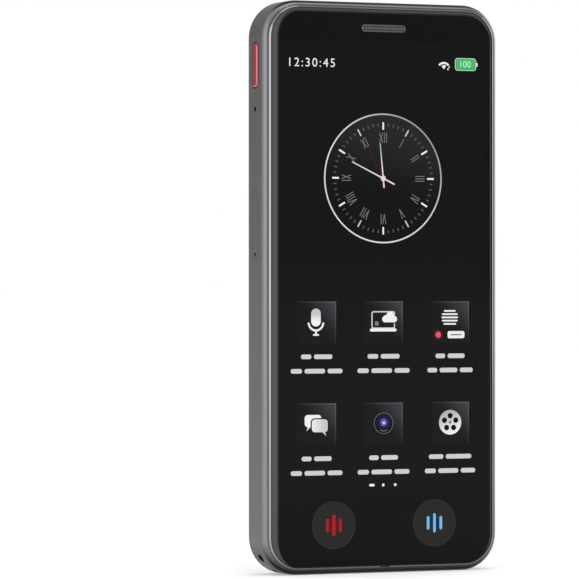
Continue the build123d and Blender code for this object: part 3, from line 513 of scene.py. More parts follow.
COATING_REFLECTIONS = (  # painted reflections: offset from the middle of the lens, radius and colour of each patch
    (0.85, -1.0, 1.0, (150, 140, 214)), (-1.1, 0.25, 1.0, (186, 116, 206)),
    (-0.75, -1.15, 0.85, (56, 140, 140)), (-0.25, 1.15, 0.75, (132, 168, 246)),
)
CORE_REFLECTION_RINGS = (  # painted reflection rings with a glint in the middle: radius and colour, from outside
    (0.78, (34, 26, 112)), (0.5, (122, 92, 196)), (0.3, (34, 20, 84)), (0.17, (226, 170, 226)),
)
CORE_FADE = 0.12
BLUE_RANGE = (2.25, 1.6)  # radii between which the glass turns from near black to blue


def lens_coating():
    """Front element: dark glass; the blue, violet and green patches and rings of its coatings are painted
    reflections.
    """
    shader = Shader("lens_coating")
    away = shader.distance(CAMERA.x, CAMERA.z)
    depth = shader.ranged(away, *BLUE_RANGE, smooth=True)
    colour = shader.mix(depth, srgb(12, 12, 44), srgb(44, 62, 168))
    for dx, dz, r, tint in COATING_REFLECTIONS:
        colour = shader.mix(shader.spot(CAMERA.x + dx, CAMERA.z + dz, r), colour, srgb(*tint))
    for r, tint in CORE_REFLECTION_RINGS:
        colour = shader.mix(shader.ranged(away, r, r - CORE_FADE, smooth=True), colour, srgb(*tint))
    shader.set(Base_Color=colour, Metallic=0.35, IOR=1.4, Coat_Weight=0.3, Coat_Roughness=0.02)
    shader.rough(shader.noise(0.4), 0.05, 0.02)
    return shader.material


# ---------------------------------------------------------------- lights of the screen
PIXEL_TONES = (0.96, 1.03)


def lit(name, colour, far_colour=None, centre=(0.0, 0.0), reach=1.0, direction=(0.0, 1.0)):
    """Pixels that shine through the glass; with far_colour their light changes along a direction."""
    shader = Shader(name)
    grain = shader.noise(0.35, detail=1.0)
    tone = shader.mix(grain, *(shade(colour, factor) for factor in PIXEL_TONES))
    if far_colour is not None:
        off_x, off_z = shader.axis("X") - centre[0] * MM, shader.axis("Z") - centre[1] * MM
        along = off_x * direction[0] + off_z * direction[1]
        share = shader.ranged(along, -reach * MM, reach * MM, smooth=True)
        tone = shader.mix(share, tone, far_colour)
    shader.set(Base_Color=grey(6), Emission_Color=tone, Emission_Strength=1.0)
    shader.set(Specular_IOR_Level=GLASS_SHEEN)
    shader.rough(grain, 0.06, 0.01)
    return shader.material


WHITE = lit("screen_white", grey(240))
SOFT_WHITE = lit("screen_soft_white", srgb(205, 206, 208))
LABEL = lit("screen_label", srgb(206, 207, 208))
MID_GREY = lit("screen_grey", grey(122))
DIM = lit("screen_dim", srgb(92, 92, 94))
DARK = lit("screen_dark", srgb(24, 25, 26))
BLACK = lit("screen_black", grey(8))
HAND_TONE = srgb(236, 222, 226)
HAND_WHITE = lit("hand_white", HAND_TONE)
HAND_COOL = lit("hand_cool", HAND_TONE, srgb(170, 190, 190), (0, CLOCK_Z + 5.5), 4.0)
HUB_PINK = lit("hub_pink", srgb(238, 208, 214))
SECOND_RED = lit("second_red", srgb(68, 25, 31))
RED_DOT = lit("record_red", srgb(224, 88, 106))
RED_HALO = lit("record_halo", srgb(84, 22, 30))
GREEN = lit("charge_green", srgb(66, 188, 106))
GREEN_PALE = lit("charge_pale", srgb(176, 224, 190))
CHARGE_WHITE = lit("charge_white", srgb(206, 236, 214))
KEY_GREY = lit("touch_grey", grey(38))
KEY_RIM = lit("touch_rim", grey(48))
KEY_RED = lit("touch_red", srgb(166, 30, 38))
KEY_RED_SHADE = lit("touch_red_shade", srgb(92, 20, 24))
KEY_BLUE = lit("touch_blue", srgb(124, 184, 222))
KEY_BLUE_SHADE = lit("touch_blue_shade", srgb(10, 48, 84))
LENS_BLUE = lit("icon_blue", srgb(24, 26, 60))
LENS_MID = lit("icon_mid_blue", srgb(84, 86, 156))
LENS_SPOT = lit("icon_spot", srgb(196, 206, 248))
REEL_RED = lit("icon_red", srgb(186, 74, 84))


# ---------------------------------------------------------------- mesh helpers
def new_piece(name, mesh, material, body=BODY, smooth=False):
    piece = bpy.data.objects.new(name, mesh)
    bpy.context.scene.collection.objects.link(piece)
    mesh.materials.append(material)
    if smooth:
        mesh.polygons.foreach_set("use_smooth", [True] * len(mesh.polygons))
    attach(piece, body)
    return piece


def to_mesh(name, shape):
    bmesh.ops.recalc_face_normals(shape, faces=shape.faces)
    mesh = bpy.data.meshes.new(name)
    shape.to_mesh(mesh)
    shape.free()
    return mesh


def add_loop(shape, outline, y):
    """Vertices over an outline of (x, z) points."""
    return [shape.verts.new((x * MM, y * MM, z * MM)) for x, z in outline]


def add_band(shape, first, second):
    """Faces between two closed loops that have as many vertices each."""
    for i in range(len(first)):
        j = (i + 1) % len(first)
        shape.faces.new((first[i], first[j], second[j], second[i]))


def add_prism(shape, outline, y_back, y_front):
    """Closed solid over an outline."""
    back, front = add_loop(shape, outline, y_back), add_loop(shape, outline, y_front)
    shape.faces.new(front)
    shape.faces.new(list(reversed(back)))
    add_band(shape, back, front)


def add_tube(shape, outer, inner, y_back, y_front):
    """Closed frame between two outlines that have as many points each."""
    places = ((outer, y_back), (outer, y_front), (inner, y_front), (inner, y_back))
    loops = [add_loop(shape, outline, y) for outline, y in places]
    for first, second in zip(loops, loops[1:] + loops[:1]):
        add_band(shape, first, second)


def on_glass(name, material, layer, solids=(), frames=()):
    """Shapes that lie on the glass at one layer: solids are outlines, frames are outline pairs."""
    shape = bmesh.new()
    front = GLASS_Y - LEVEL * layer
    for outline in solids:
        add_prism(shape, outline, GLASS_Y + SINK, front)
    for outer, inner in frames:
        add_tube(shape, outer, inner, GLASS_Y + SINK, front)
    return new_piece(name, to_mesh(name, shape), material)


# ---------------------------------------------------------------- outlines in X and Z
def circle(x, z, r, count=48):
    turns = [2 * math.pi * i / count for i in range(count)]
    return [(x + r * math.cos(a), z + r * math.sin(a)) for a in turns]


def arc(x, z, r, start, end, steps):
    """Points along part of a circle; angles in degrees, anticlockwise from +X."""
    turns = [math.radians(start + (end - start) * i / steps) for i in range(steps + 1)]
    return [(x + r * math.cos(a), z + r * math.sin(a)) for a in turns]


def arc_band(x, z, r_in, r_out, start, end, steps=16):
    """Part of a ring."""
    return arc(x, z, r_out, start, end, steps) + arc(x, z, r_in, end, start, steps)


def box(x, z, w, h, r=0.0, steps=6):
    """Rectangle about its middle, with its corners rounded by r."""
    points = []
    for k, (sx, sz) in enumerate(((1, -1), (1, 1), (-1, 1), (-1, -1))):
        cx, cz = x + sx * (w / 2 - r), z + sz * (h / 2 - r)
        points += arc(cx, cz, r, 90 * k - 90, 90 * k, steps) if r > 0 else [(cx, cz)]
    return points


def stroke(x0, z0, x1, z1, width, tip=None, steps=8):
    """Bar from one point to another with round ends, or flat ones at 1 step; tip is its far width."""
    tip = width if tip is None else tip
    along = math.degrees(math.atan2(z1 - z0, x1 - x0))
    near = arc(x0, z0, width / 2, along + 90, along + 270, steps)
    return near + arc(x1, z1, tip / 2, along - 90, along + 90, steps)


def dial_point(turn, r):
    """Point of the clock at a clockwise angle in degrees from 12 o'clock."""
    a = math.radians(turn)
    return r * math.sin(a), CLOCK_Z + r * math.cos(a)


def dial_stroke(turn, r0, r1, width, tip=None, steps=8):
    return stroke(*dial_point(turn, r0), *dial_point(turn, r1), width, tip, steps)


# ---------------------------------------------------------------- display glow and clock
def display_glow():
    x0, x1 = DISPLAY_LOW.x + DISPLAY_INSET, DISPLAY_HIGH.x - DISPLAY_INSET
    z0, z1 = DISPLAY_LOW.z + DISPLAY_INSET, DISPLAY_HIGH.z - DISPLAY_INSET
    outline = box((x0 + x1) / 2, (z0 + z1) / 2, x1 - x0, z1 - z0, DISPLAY_CORNER)
    on_glass("display_glow", lit("display_lit", grey(18)), GLOW, [outline])


RIM_HALF = 0.18  # half the width of the ring round the dial
DIAL_IN = 0.2  # from the middle of that ring to the edge of the dial


def clock_dial():
    glow = lit("dial_lit", grey(18), grey(38), (1.0, CLOCK_Z + 4), 9.0, (0.2, 0.98))
    on_glass("clock_dial", glow, FIELD, [circle(0, CLOCK_Z, CLOCK_R - DIAL_IN, 96)])
    outer, inner = (circle(0, CLOCK_Z, CLOCK_R + off, 128) for off in (RIM_HALF, -RIM_HALF))
    rim = lit("clock_rim", grey(222), grey(150), (6, CLOCK_Z + 6), 12.0, (0.7, 0.7))
    on_glass("clock_ring", rim, PRINT, frames=[(outer, inner)])


BOLD_HOURS = {0, 2, 3, 4, 6, 8, 9, 10}
HOUR_MARK = (12.1, 13.95)  # inner and outer radius
MINUTE_MARK = (12.9, 13.7)
BOLD_W, THIN_W, MINUTE_W = 0.44, 0.34, 0.28


def clock_ticks():
    hours = range(12)
    strong = [dial_stroke(30 * h, *HOUR_MARK, BOLD_W, steps=1) for h in hours if h in BOLD_HOURS]
    thin = [dial_stroke(30 * h, *HOUR_MARK, THIN_W, steps=1) for h in hours if h not in BOLD_HOURS]
    minor = [dial_stroke(6 * m, *MINUTE_MARK, MINUTE_W, steps=1) for m in range(60) if m % 5]
    on_glass("clock_hour_marks", WHITE, PRINT, strong)
    on_glass("clock_side_marks", SOFT_WHITE, PRINT, thin)
    on_glass("clock_minute_marks", DIM, PRINT, minor)


NUMERAL_R = 10.1
NUMERAL_H = 2.4
NUMERAL_LINE = 0.19
NUMERALS = ("I", "II", "III", "IV", "V", "VI", "VII", "VIII", "IX", "X", "XI", "XII")
LETTER_W = {"I": 0.6, "V": 1.15, "X": 1.2}
ARM_SHARE = 0.36  # from a letter's middle to the end of its slanting strokes, as a share of its width


def numeral_strokes(text):
    """Strokes of a Roman number about its middle, as (x0, z0, x1, z1)."""
    h, strokes = NUMERAL_H / 2, []
    x = -sum(LETTER_W[c] for c in text) / 2
    for c in text:
        w = LETTER_W[c]
        mid, arm = x + w / 2, w * ARM_SHARE
        if c == "I":
            strokes.append((mid, -h, mid, h))
        elif c == "V":
            strokes += [(mid - arm, h, mid, -h), (mid + arm, h, mid, -h)]
        else:
            strokes += [(mid - arm, h, mid + arm, -h), (mid + arm, h, mid - arm, -h)]
        x += w
    return strokes


def clock_numerals():
    """Each number stands on its radius, with its foot towards the middle."""
    outlines = []
    for hour, text in enumerate(NUMERALS, 1):
        a = math.radians(30 * hour)
        cx, cz = dial_point(30 * hour, NUMERAL_R)
        for x0, z0, x1, z1 in numeral_strokes(text):
            ends = []
            for x, z in ((x0, z0), (x1, z1)):
                ends += [cx + x * math.cos(a) + z * math.sin(a), cz - x * math.sin(a) + z * math.cos(a)]
            outlines.append(stroke(*ends, NUMERAL_LINE, steps=3))
    on_glass("clock_numerals", MID_GREY, PRINT, outlines)


HAND_W, HAND_TIP_W = 0.38, 0.24
HUB_R, HUB_BORE = 0.7, 0.34
HANDS = (  # name, light, clockwise angle, radii of tail and tip, widths of tail and tip
    ("second_hand", SECOND_RED, -28.9, 0.9, 8.2, 0.3, 0.3),
    ("minute_hand", HAND_COOL, -5.6, -2.2, 8.7, HAND_W, HAND_TIP_W),
    ("hour_hand", HAND_WHITE, -64.7, -3.3, 9.35, HAND_W, HAND_TIP_W),
)


def clock_hands():
    """Three hands, one above the other, and the hub over them."""
    for index, (name, light, *sizes) in enumerate(HANDS, 1):
        on_glass(name, light, PRINT + index, [dial_stroke(*sizes)])
    hub = (circle(0, CLOCK_Z, HUB_R), circle(0, CLOCK_Z, HUB_BORE))
    on_glass("clock_hub", HUB_PINK, PRINT + len(HANDS) + 1, frames=[hub])


# ---------------------------------------------------------------- status line
TIME_X, TIME_Z = -19.6, STATUS_Z - 0.5
TIME_SIZE, TIME_SPACING = 3.05, 1.25
SIGNAL_X, SIGNAL_Z = 16.75, STATUS_Z - 0.83
PILL_X, PILL_W, PILL_H = 22.8, 5.9, 3.15  # battery
PILL_LINE, PILL_LEVEL_IN = 0.25, 0.35  # its outline, and how far in its green level lies
CHARGE_SIZE = 2.3


def digits(name, text, size, x, z, layer, material, spacing=1.0):
    """Plain digits; x and z are their middle."""
    thickness = SINK + LEVEL * layer
    font = bpy.data.curves.new(name + "_font", "FONT")
    font.body = text
    font.size = size * MM
    font.space_character = spacing
    font.align_x = "CENTER"
    font.align_y = "CENTER"
    font.resolution_u = 6
    font.extrude = thickness * MM / 2
    source = bpy.data.objects.new(name + "_font", font)
    bpy.context.scene.collection.objects.link(source)
    bpy.context.view_layer.update()
    mesh = bpy.data.meshes.new_from_object(source.evaluated_get(bpy.context.evaluated_depsgraph_get()))
    bpy.data.objects.remove(source)
    shape = bmesh.new()
    shape.from_mesh(mesh)
    bmesh.ops.remove_doubles(shape, verts=shape.verts, dist=1e-7)
    y = GLASS_Y + SINK - thickness / 2
    for vertex in shape.verts:
        across, up, depth = vertex.co
        vertex.co = Vector((x * MM + across, y * MM - depth, z * MM + up))
    new_piece(name, to_mesh(name, shape), material)


def signal_sign():
    x, z = SIGNAL_X, SIGNAL_Z
    fan = [(x, z - 0.5)] + arc(x, z - 0.5, 1.05, 128, 52, 8)
    on_glass("signal_fan", WHITE, PRINT, [fan, arc_band(x, z - 0.6, 1.45, 1.95, 40, 140)])
    marks = [circle(x + 1.15, z - 0.45, 0.26, 20), circle(x + 1.5, z + 0.1, 0.24, 20)]
    on_glass("signal_marks", SOFT_WHITE, PRINT, marks)


def charge_sign():
    outer = box(PILL_X, STATUS_Z, PILL_W, PILL_H, 0.75)
    inner = box(PILL_X, STATUS_Z, PILL_W - 2 * PILL_LINE, PILL_H - 2 * PILL_LINE, 0.5)
    level_w, level_h = PILL_W - 2 * PILL_LEVEL_IN, PILL_H - 2 * PILL_LEVEL_IN
    on_glass("charge_outline", GREEN_PALE, PRINT, frames=[(outer, inner)])
    on_glass("charge_level", GREEN, PRINT, [box(PILL_X, STATUS_Z, level_w, level_h, 0.42)])
    on_glass("charge_tip", WHITE, PRINT, [box(PILL_X + PILL_W / 2 + 0.22, STATUS_Z, 0.36, 1.0, 0.16)])
    digits("charge_number", "100", CHARGE_SIZE, PILL_X - 0.2, STATUS_Z, PRINT + 1, CHARGE_WHITE)


def status_line():
    digits("status_time", "12:30:45", TIME_SIZE, TIME_X, TIME_Z, PRINT, WHITE, TIME_SPACING)
    signal_sign()
    charge_sign()


# ---------------------------------------------------------------- icon tiles
EDGE_W = 0.24  # bright line along two sides of a tile


def tile(row, column):
    """Dark square that lightens towards its upper right corner."""
    x, z = TILE_COLUMNS[column], TILE_ROWS[row]
    name = f"tile_{row + 1}_{column + 1}"
    glow_place, edge_place = (x + 3.4, z + 3.4), (x + 2.5, z + 2.5)
    glow = lit(name + "_lit", srgb(22, 23, 23), srgb(70, 73, 77), glow_place, 5.2, (0.75, 0.66))
    on_glass(name, glow, FIELD, [box(x, z, TILE, TILE)])
    edge = lit(name + "_edge_lit", srgb(30, 31, 31), srgb(92, 94, 96), edge_place, 5.0, (0.7, 0.7))
    inside = (TILE - EDGE_W) / 2
    bars = [box(x + inside, z, EDGE_W, TILE), box(x - EDGE_W / 2, z + inside, TILE - EDGE_W, EDGE_W)]
    on_glass(name + "_edge", edge, PRINT, bars)
    return x, z


def label(row, column):
    """Two lines of plain dashes stand where a caption goes."""
    x, z = TILE_COLUMNS[column], TILE_ROWS[row]
    bars = []
    for width, drop, shares in zip(LABEL_WIDTHS[row][column], LABEL_DROPS, LABEL_SHARES):
        room = width - LABEL_GAP * (len(shares) - 1)
        left = x - width / 2
        for share in shares:
            length = room * share
            bars.append(box(left + length / 2, z - drop, length, LABEL_H, LABEL_CORNER))
            left += length + LABEL_GAP
    on_glass(f"label_{row + 1}_{column + 1}", LABEL, PRINT, bars)


def icon_microphone(x, z):
    x, z = x - 0.2, z + 1.3
    body = lit("microphone_lit", srgb(196, 199, 202), srgb(240, 241, 242), (x, z), 1.2, (0.0, -1.0))
    on_glass("icon_microphone", body, ICON, [box(x, z, 2.6, 4.4, 1.25)])
    cradle = arc_band(x, z - 1.2, 1.75, 2.25, 182, 358)
    stem, foot = box(x, z - 3.85, 0.5, 1.1), box(x, z - 4.3, 1.6, 0.42, 0.15)
    on_glass("icon_microphone_stand", WHITE, ICON, [cradle, stem, foot])


def icon_laptop(x, z):
    """Open laptop with a cloud before its screen."""
    screen_x, screen_z = x - 0.1, z + 0.65
    outer, inner = box(screen_x, screen_z, 6.5, 4.4, 0.55), box(screen_x, screen_z, 5.85, 3.75, 0.3)
    on_glass("icon_screen", SOFT_WHITE, ICON, frames=[(outer, inner)])
    on_glass("icon_base", WHITE, ICON + 1, [box(screen_x, z - 1.85, 7.3, 0.75, 0.36)])
    on_glass("icon_mark", MID_GREY, ICON, [box(x - 1.9, z - 0.25, 1.0, 1.1, 0.2)])
    cloud_x, cloud_z = x + 1.65, z + 0.95
    on_glass("icon_cloud_gap", DARK, ICON + 1, [box(cloud_x, cloud_z - 0.1, 4.7, 2.2, 1.05)])
    on_glass("icon_cloud", WHITE, ICON + 2, [box(cloud_x, cloud_z - 0.1, 4.1, 1.6, 0.79)])
    on_glass("icon_cloud_top", WHITE, ICON + 3, [circle(cloud_x + 0.2, cloud_z + 0.7, 1.1)])
    on_glass("icon_cloud_side", WHITE, ICON + 4, [circle(cloud_x - 0.9, cloud_z + 0.15, 0.8)])


SOUND_BAR_WIDTHS = (3.2, 4.35, 4.6, 4.35, 3.5)


def icon_record(x, z):
    """Sound bars above a record dot and a plate with a dash."""
    bars = [box(x - 0.1, z + 2.85 - 0.81 * i, w, 0.42, 0.18) for i, w in enumerate(SOUND_BAR_WIDTHS)]
    on_glass("icon_sound_bars", WHITE, ICON, bars)
    low_z = z - 3.1
    on_glass("icon_record_halo", RED_HALO, ICON, [circle(x - 3.3, low_z, 1.2)])
    on_glass("icon_record_dot", RED_DOT, ICON + 1, [circle(x - 3.3, low_z, 0.75)])
    on_glass("icon_record_label", WHITE, ICON, [box(x + 1.65, low_z, 4.7, 1.8, 0.5)])
    on_glass("icon_record_dash", MID_GREY, ICON + 1, [box(x + 1.65, low_z, 3.2, 0.32, 0.15)])


def bubble(x, z, w, h, side):
    """Outlines of a rounded speech bubble and of its tip, which points down to one side."""
    root, foot = x + side * w * 0.22, z - h / 2
    tip = [(root - 0.35, foot + 0.1), (root + side * 0.8, foot - 1.0), (root + 0.45, foot + 0.1)]
    return [box(x, z, w, h, 0.85), tip]


def icon_bubbles(x, z):
    on_glass("icon_bubble_back", WHITE, ICON, bubble(x - 1.0, z + 0.95, 4.5, 3.0, -1))
    on_glass("icon_bubble_gap", DARK, ICON + 1, [box(x + 0.85, z - 0.25, 5.0, 3.8, 1.1)])
    tone = lit("bubble_lit", srgb(200, 202, 204), grey(242), (x, z), 2.5, (-1.0, 0.0))
    on_glass("icon_bubble_front", tone, ICON + 2, bubble(x + 0.85, z - 0.25, 4.3, 3.2, 1))


def icon_lens(x, z):
    z = z + 0.15
    on_glass("icon_lens_ring", DIM, ICON, frames=[(circle(x, z, 2.68, 64), circle(x, z, 2.46, 64))])
    on_glass("icon_lens_well", BLACK, ICON, [circle(x, z, 2.42)])
    on_glass("icon_lens_blue", LENS_BLUE, ICON + 1, [circle(x, z + 0.25, 2.0)])
    on_glass("icon_lens_mid", LENS_MID, ICON + 2, [circle(x + 0.03, z + 0.2, 1.0)])
    on_glass("icon_lens_spot", LENS_SPOT, ICON + 3, [circle(x + 0.06, z + 0.1, 0.38)])
    on_glass("icon_lens_glint", MID_GREY, ICON + 1, [arc_band(x, z, 1.85, 2.02, 240, 300)])


def icon_reel(x, z):
    z = z + 0.15
    tone = lit("reel_lit", srgb(176, 178, 180), grey(236), (x, z), 3.0, (0.3, -0.95))
    on_glass("icon_reel", tone, ICON, [circle(x, z, 3.1, 64)])
    spots = [math.radians(90 + 72 * i) for i in range(5)]
    holes = [circle(x + 1.65 * math.cos(a), z + 1.65 * math.sin(a), 0.7, 32) for a in spots]
    on_glass("icon_reel_holes", BLACK, ICON + 1, holes)
    on_glass("icon_reel_hub", REEL_RED, ICON + 1, [circle(x, z, 0.42, 5)])


ICONS = (
    (icon_microphone, icon_laptop, icon_record),
    (icon_bubbles, icon_lens, icon_reel),
)


def icon_tiles():
    for row, icons in enumerate(ICONS):
        for column, icon in enumerate(icons):
            icon(*tile(row, column))
            label(row, column)


def page_dots():
    outlines = [box(-3.1, DOTS_Z, 1.5, 0.62, 0.3), circle(0, DOTS_Z, 0.36), circle(3.3, DOTS_Z, 0.36)]
    on_glass("page_dots", WHITE, PRINT, outlines)


# ---------------------------------------------------------------- touch keys
KEY_R = 5.75
RIM_OUT, RIM_IN = 0.15, 0.05  # the rim's edges, from that radius outwards and inwards
BAR_PITCH = 1.76
BAR_CORNER = 0.36
SIDE_BAR = (0.76, 3.35, 0.35)  # width, height and corner
BAR_SHADE = (4.2, 3.3, 0.9)
TOUCH_KEYS = (  # name, x, colour, shade between the bars, width and height of the middle bar
    ("red", TOUCH_LEFT, KEY_RED, KEY_RED_SHADE, 0.9, 5.2),
    ("blue", TOUCH_RIGHT - 0.15, KEY_BLUE, KEY_BLUE_SHADE, 0.74, 4.8),
)


def touch_keys():
    """Two round fields with three upright bars each."""
    for name, x, bright, dull, thick, tall in TOUCH_KEYS:
        field = circle(x, TOUCH_Z, KEY_R, 96)
        rim = (circle(x, TOUCH_Z, KEY_R + RIM_OUT, 96), circle(x, TOUCH_Z, KEY_R - RIM_IN, 96))
        sides = [box(x + off, TOUCH_Z, *SIDE_BAR) for off in (-BAR_PITCH, BAR_PITCH)]
        bars = [box(x, TOUCH_Z, thick, tall, BAR_CORNER)] + sides
        shaded = box(x, TOUCH_Z, *BAR_SHADE)
        on_glass(f"touch_{name}_face", KEY_GREY, GLOW, [field])
        on_glass(f"touch_{name}_rim", KEY_RIM, FIELD, frames=[rim])
        on_glass(f"touch_{name}_shade", dull, FIELD, [shaded])
        on_glass(f"touch_{name}_bars", bright, PRINT, bars)


# ---------------------------------------------------------------- camera lens and flash
def turned(name, profile, centre, material, body=BODY, count=64):
    """Closed solid of revolution about an axis along Y; profile is (radius, y), in order."""
    shape = bmesh.new()
    loops = []
    for r, y in profile:
        if r == 0:
            loops.append(add_loop(shape, [(centre.x, centre.z)], y))
        else:
            loops.append(add_loop(shape, circle(centre.x, centre.z, r, count), y))
    for first, second in zip(loops, loops[1:]):
        for i in range(count):
            j = (i + 1) % count
            corners = [first[i % len(first)], first[j % len(first)]]
            corners += [second[j % len(second)], second[i % len(second)]]
            shape.faces.new(list(dict.fromkeys(corners)))
    if profile[0][0] > 0 and profile[-1][0] > 0:
        add_band(shape, loops[-1], loops[0])
    return new_piece(name, to_mesh(name, shape), material, body, smooth=True)


LENS_EDGE = 0.2  # thickness of a lens element at its edge


def dome(r, y_low, y_high, steps=10):
    """Profile of a lens element with a flat back."""
    rise = y_high - y_low
    points = [(0, y_low - LENS_EDGE), (r, y_low - LENS_EDGE)]
    for i in range(steps):
        a = math.radians(90 * i / steps)
        points.append((r * math.cos(a), y_low + rise * math.sin(a)))
    return points + [(0, y_high)]


BAFFLE_R = 2.6  # passes through the ring's bore when the lens moves out
BAFFLE_H = 0.5
BAFFLE_GAP = 0.02  # above the barrel
BAFFLE_BORE = 2.3
BAFFLE_WALL = 0.06  # at its upper edge
STEP_COUNT, STEP_TREAD, STEP_RISE = 4, 0.08, 0.1
LENS_R = 2.27
LENS_RISE = (0.15, 0.55)  # edge and crown of the front element, above the barrel


def camera_lens():
    """What shows through the window: the stepped baffle and the coated front element."""
    top = high("lens_barrel").y
    black = finish("baffle_black", (0.012, 0.012, 0.016, 1.0), 0.5, bump=0.004, grain=0.15)
    foot = top + BAFFLE_GAP
    profile = [(BAFFLE_R, foot), (BAFFLE_R, top + BAFFLE_H)]
    for i in range(STEP_COUNT):
        r, y = BAFFLE_R - BAFFLE_WALL - STEP_TREAD * i, top + BAFFLE_H - STEP_RISE * i
        profile += [(r, y), (r, y - STEP_RISE)]
    profile += [(BAFFLE_BORE, foot)]
    turned("lens_baffle", profile, CAMERA, black, "lens_barrel")
    front = dome(LENS_R, *(top + rise for rise in LENS_RISE))
    turned("lens_front", front, CAMERA, lens_coating(), "lens_barrel")


FLASH_RINGS = (0.8, 1.3, 1.75, 2.15)
RING_FOOT_W, RING_CREST_W = 0.24, 0.06
RING_SUNK, RING_RISE = 0.05, 0.03  # below and above the face of the flash lens


def flash_rings(milk):
    """Fine rings of the Fresnel lens over the flash."""
    face = high("flash_lens").y
    foot, crest = face - RING_SUNK, face + RING_RISE
    wide, narrow = RING_FOOT_W / 2, RING_CREST_W / 2
    for index, r in enumerate(FLASH_RINGS):
        profile = [(r - wide, foot), (r + wide, foot), (r + narrow, crest), (r - narrow, crest)]
        turned(f"flash_ring_{index + 1}", profile, FLASH, milk)


# ---------------------------------------------------------------- finishes of the CAD nodes
def outside_looks(milk):
    glass = black_glass("front_glass", FRONT_EDGE_SHEEN)
    # Dark keys: their edge tone is painted shade.
    dark_key = anodised("key_dark", srgb(84, 82, 82), srgb(50, 50, 51))
    bezel = finish("flash_white", srgb(252, 252, 251), 0.3, grain=0.3, bump=0.001, tone=0.02)
    return {
        "metal_frame": frame_metal("frame_metal", KEY_SHADES),
        "sim_tray": frame_metal("tray_metal"),
        "cover_glass": glass,
        "rear_glass": black_glass("rear_glass", REAR_EDGE_SHEEN),
        "earpiece_mesh": finish("mesh_steel", grey(112), 0.4, 1.0, grain=0.05),
        # Red key: its edge tone is a painted highlight.
        "power_button": anodised("key_red", srgb(150, 38, 46), srgb(206, 112, 120)),
        "red_key": dark_key,
        "blue_key": dark_key,
        # Inlays: their edge tones are painted shade.
        "red_key_inlay": anodised("inlay_red", srgb(106, 54, 52), srgb(84, 44, 42)),
        "blue_key_inlay": anodised("inlay_blue", srgb(62, 88, 110), srgb(48, 70, 88)),
        "camera_ring": spun_steel(),
        "camera_window": clear_glass(),
        "flash_bezel": bezel,
        "flash_lens": milk,
    }


STEEL_NODES = (
    "processor_shield", "radio_shield", "sim_cage", "eject_rod", "eject_lever", "usb_shell",
    "speaker_driver", "motor_can", "motor_shaft", "motor_weight", "motor_bracket",
)
FLEX_NODES = ("touch_key_flex", "power_flex", "key_flex", "battery_lead", "board_ribbon")
WHITE_NODES = ("backlight_unit", "touch_guides", "touch_key_leds", "sim_cards")
BOARD_NODES = ("main_board", "sub_board")


def inside_looks():
    looks = {
        "glass_glue": finish("glue", srgb(26, 26, 27), 0.6),
        "lcd_panel": finish("lcd", srgb(16, 16, 18), 0.2, grain=0.2, bump=0.0005),
        "mid_plate": finish("plate_alu", srgb(196, 196, 198), 0.36, 1.0, stretch=(1, 1, 6)),
        "antennas": finish("gold", srgb(226, 182, 96), 0.28, 1.0),
        "board_screws": finish("screw_steel", srgb(120, 120, 122), 0.3, 1.0),
        "board_chips": finish("chip_black", srgb(34, 34, 36), 0.42, bump=0.003),
        "flash_led": finish("flash_yellow", srgb(236, 222, 120), 0.5),
        "battery_tape": finish("tape", srgb(44, 44, 46), 0.7, bump=0.01),
        "battery_cell": finish("cell_foil", srgb(150, 152, 156), 0.34, 0.9, grain=0.6, bump=0.01),
    }
    steel = finish("sheet_steel", srgb(176, 176, 178), 0.32, 1.0, stretch=(1, 1, 8), bump=0.001)
    board = finish("pcb", srgb(22, 78, 52), 0.38, grain=0.3, coat=0.3)
    flex = finish("flex_amber", srgb(176, 108, 40), 0.35, grain=0.2)
    white = finish("white_plastic", srgb(226, 226, 224), 0.45)
    shared = ((STEEL_NODES, steel), (BOARD_NODES, board), (FLEX_NODES, flex), (WHITE_NODES, white))
    for names, material in shared:
        looks.update(dict.fromkeys(names, material))
    return looks


def dress_nodes(milk):
    """Every node that isn't named in the looks is black plastic."""
    looks = {**outside_looks(milk), **inside_looks()}
    plastic = finish("black_plastic", srgb(30, 30, 31), 0.5, bump=0.004)
    for name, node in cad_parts.items():
        node.data.materials.clear()
        node.data.materials.append(looks.get(name, plastic))


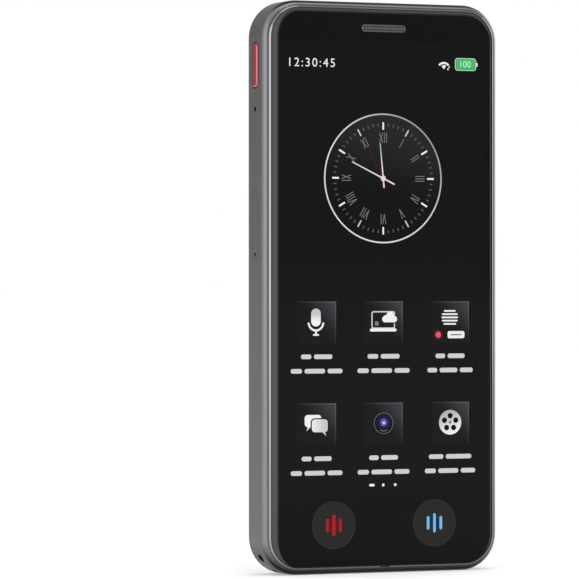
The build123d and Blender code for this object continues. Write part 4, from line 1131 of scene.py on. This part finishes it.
# ---------------------------------------------------------------- stage and light
FLOOR_R = 150.0  # metres
FLOOR_GLOW = 0.35  # keeps the floor white where it is seen, and leaves its shadow
STUDIO_SIDES, STUDIO_ENDS = 0.8, 0.5  # strength of the world at the sides, and before and behind
STUDIO_TURN = (0.35, 0.95)  # share of a direction along Y between the two
SOFTBOXES = (  # name, place and size in metres, and radiance
    ("left_softbox", (-1.3, -0.45, 0.45), 0.9, 0.9),
    ("right_softbox", (1.3, 0.45, 0.45), 0.9, 1.1),
    ("top_softbox", (0.1, -0.3, 1.5), 1.0, 0.9),
)


def make_floor():
    shape = bmesh.new()
    corners = [shape.verts.new((x, y, 0)) for x, y in circle(0, 0, FLOOR_R, 64)]
    shape.faces.new(corners)
    mesh = to_mesh("floor", shape)
    floor = bpy.data.objects.new("floor", mesh)
    bpy.context.scene.collection.objects.link(floor)
    shader = Shader("floor")
    glow = shader.seen_by("Camera", "Glossy", "Transmission") * FLOOR_GLOW
    shader.set(Base_Color=(0.9, 0.9, 0.9, 1.0), Roughness=0.9, Specular_IOR_Level=0.0)
    shader.set(Emission_Color=(1.0, 1.0, 1.0, 1.0), Emission_Strength=glow)
    mesh.materials.append(shader.material)


def make_world():
    """White to the camera; to the object a studio, bright at the sides and dim before and behind."""
    world = bpy.data.worlds.new("studio")
    bpy.context.scene.world = world
    world.use_nodes = True
    nodes = Nodes(world.node_tree)
    background = nodes.tree.nodes["Background"]
    ahead = abs(nodes.axis("Y", "Generated"))
    studio = nodes.ranged(ahead, *STUDIO_TURN, STUDIO_SIDES, STUDIO_ENDS, smooth=True)
    seen = nodes.seen_by("Camera", "Transmission")
    nodes.put(background.inputs["Color"], (1, 1, 1, 1))
    nodes.put(background.inputs["Strength"], studio + seen * (1.0 - studio))


def softbox(name, place, size, radiance):
    """Square area lamp that faces the middle of the object."""
    data = bpy.data.lights.new(name, "AREA")
    data.size = size
    data.energy = radiance * math.pi * size * size
    lamp = bpy.data.objects.new(name, data)
    lamp.location = place
    target = Vector((0, 0, MID_Z * MM))
    lamp.rotation_euler = (target - lamp.location).to_track_quat("-Z", "Y").to_euler()
    bpy.context.scene.collection.objects.link(lamp)


def make_light():
    for name, place, size, radiance in SOFTBOXES:
        softbox(name, place, size, radiance)


make_floor()
make_world()
make_light()
display_glow()
clock_dial()
clock_ticks()
clock_numerals()
clock_hands()
status_line()
icon_tiles()
page_dots()
touch_keys()
camera_lens()
flash_glass = flash_milk()
flash_rings(flash_glass)
dress_nodes(flash_glass)
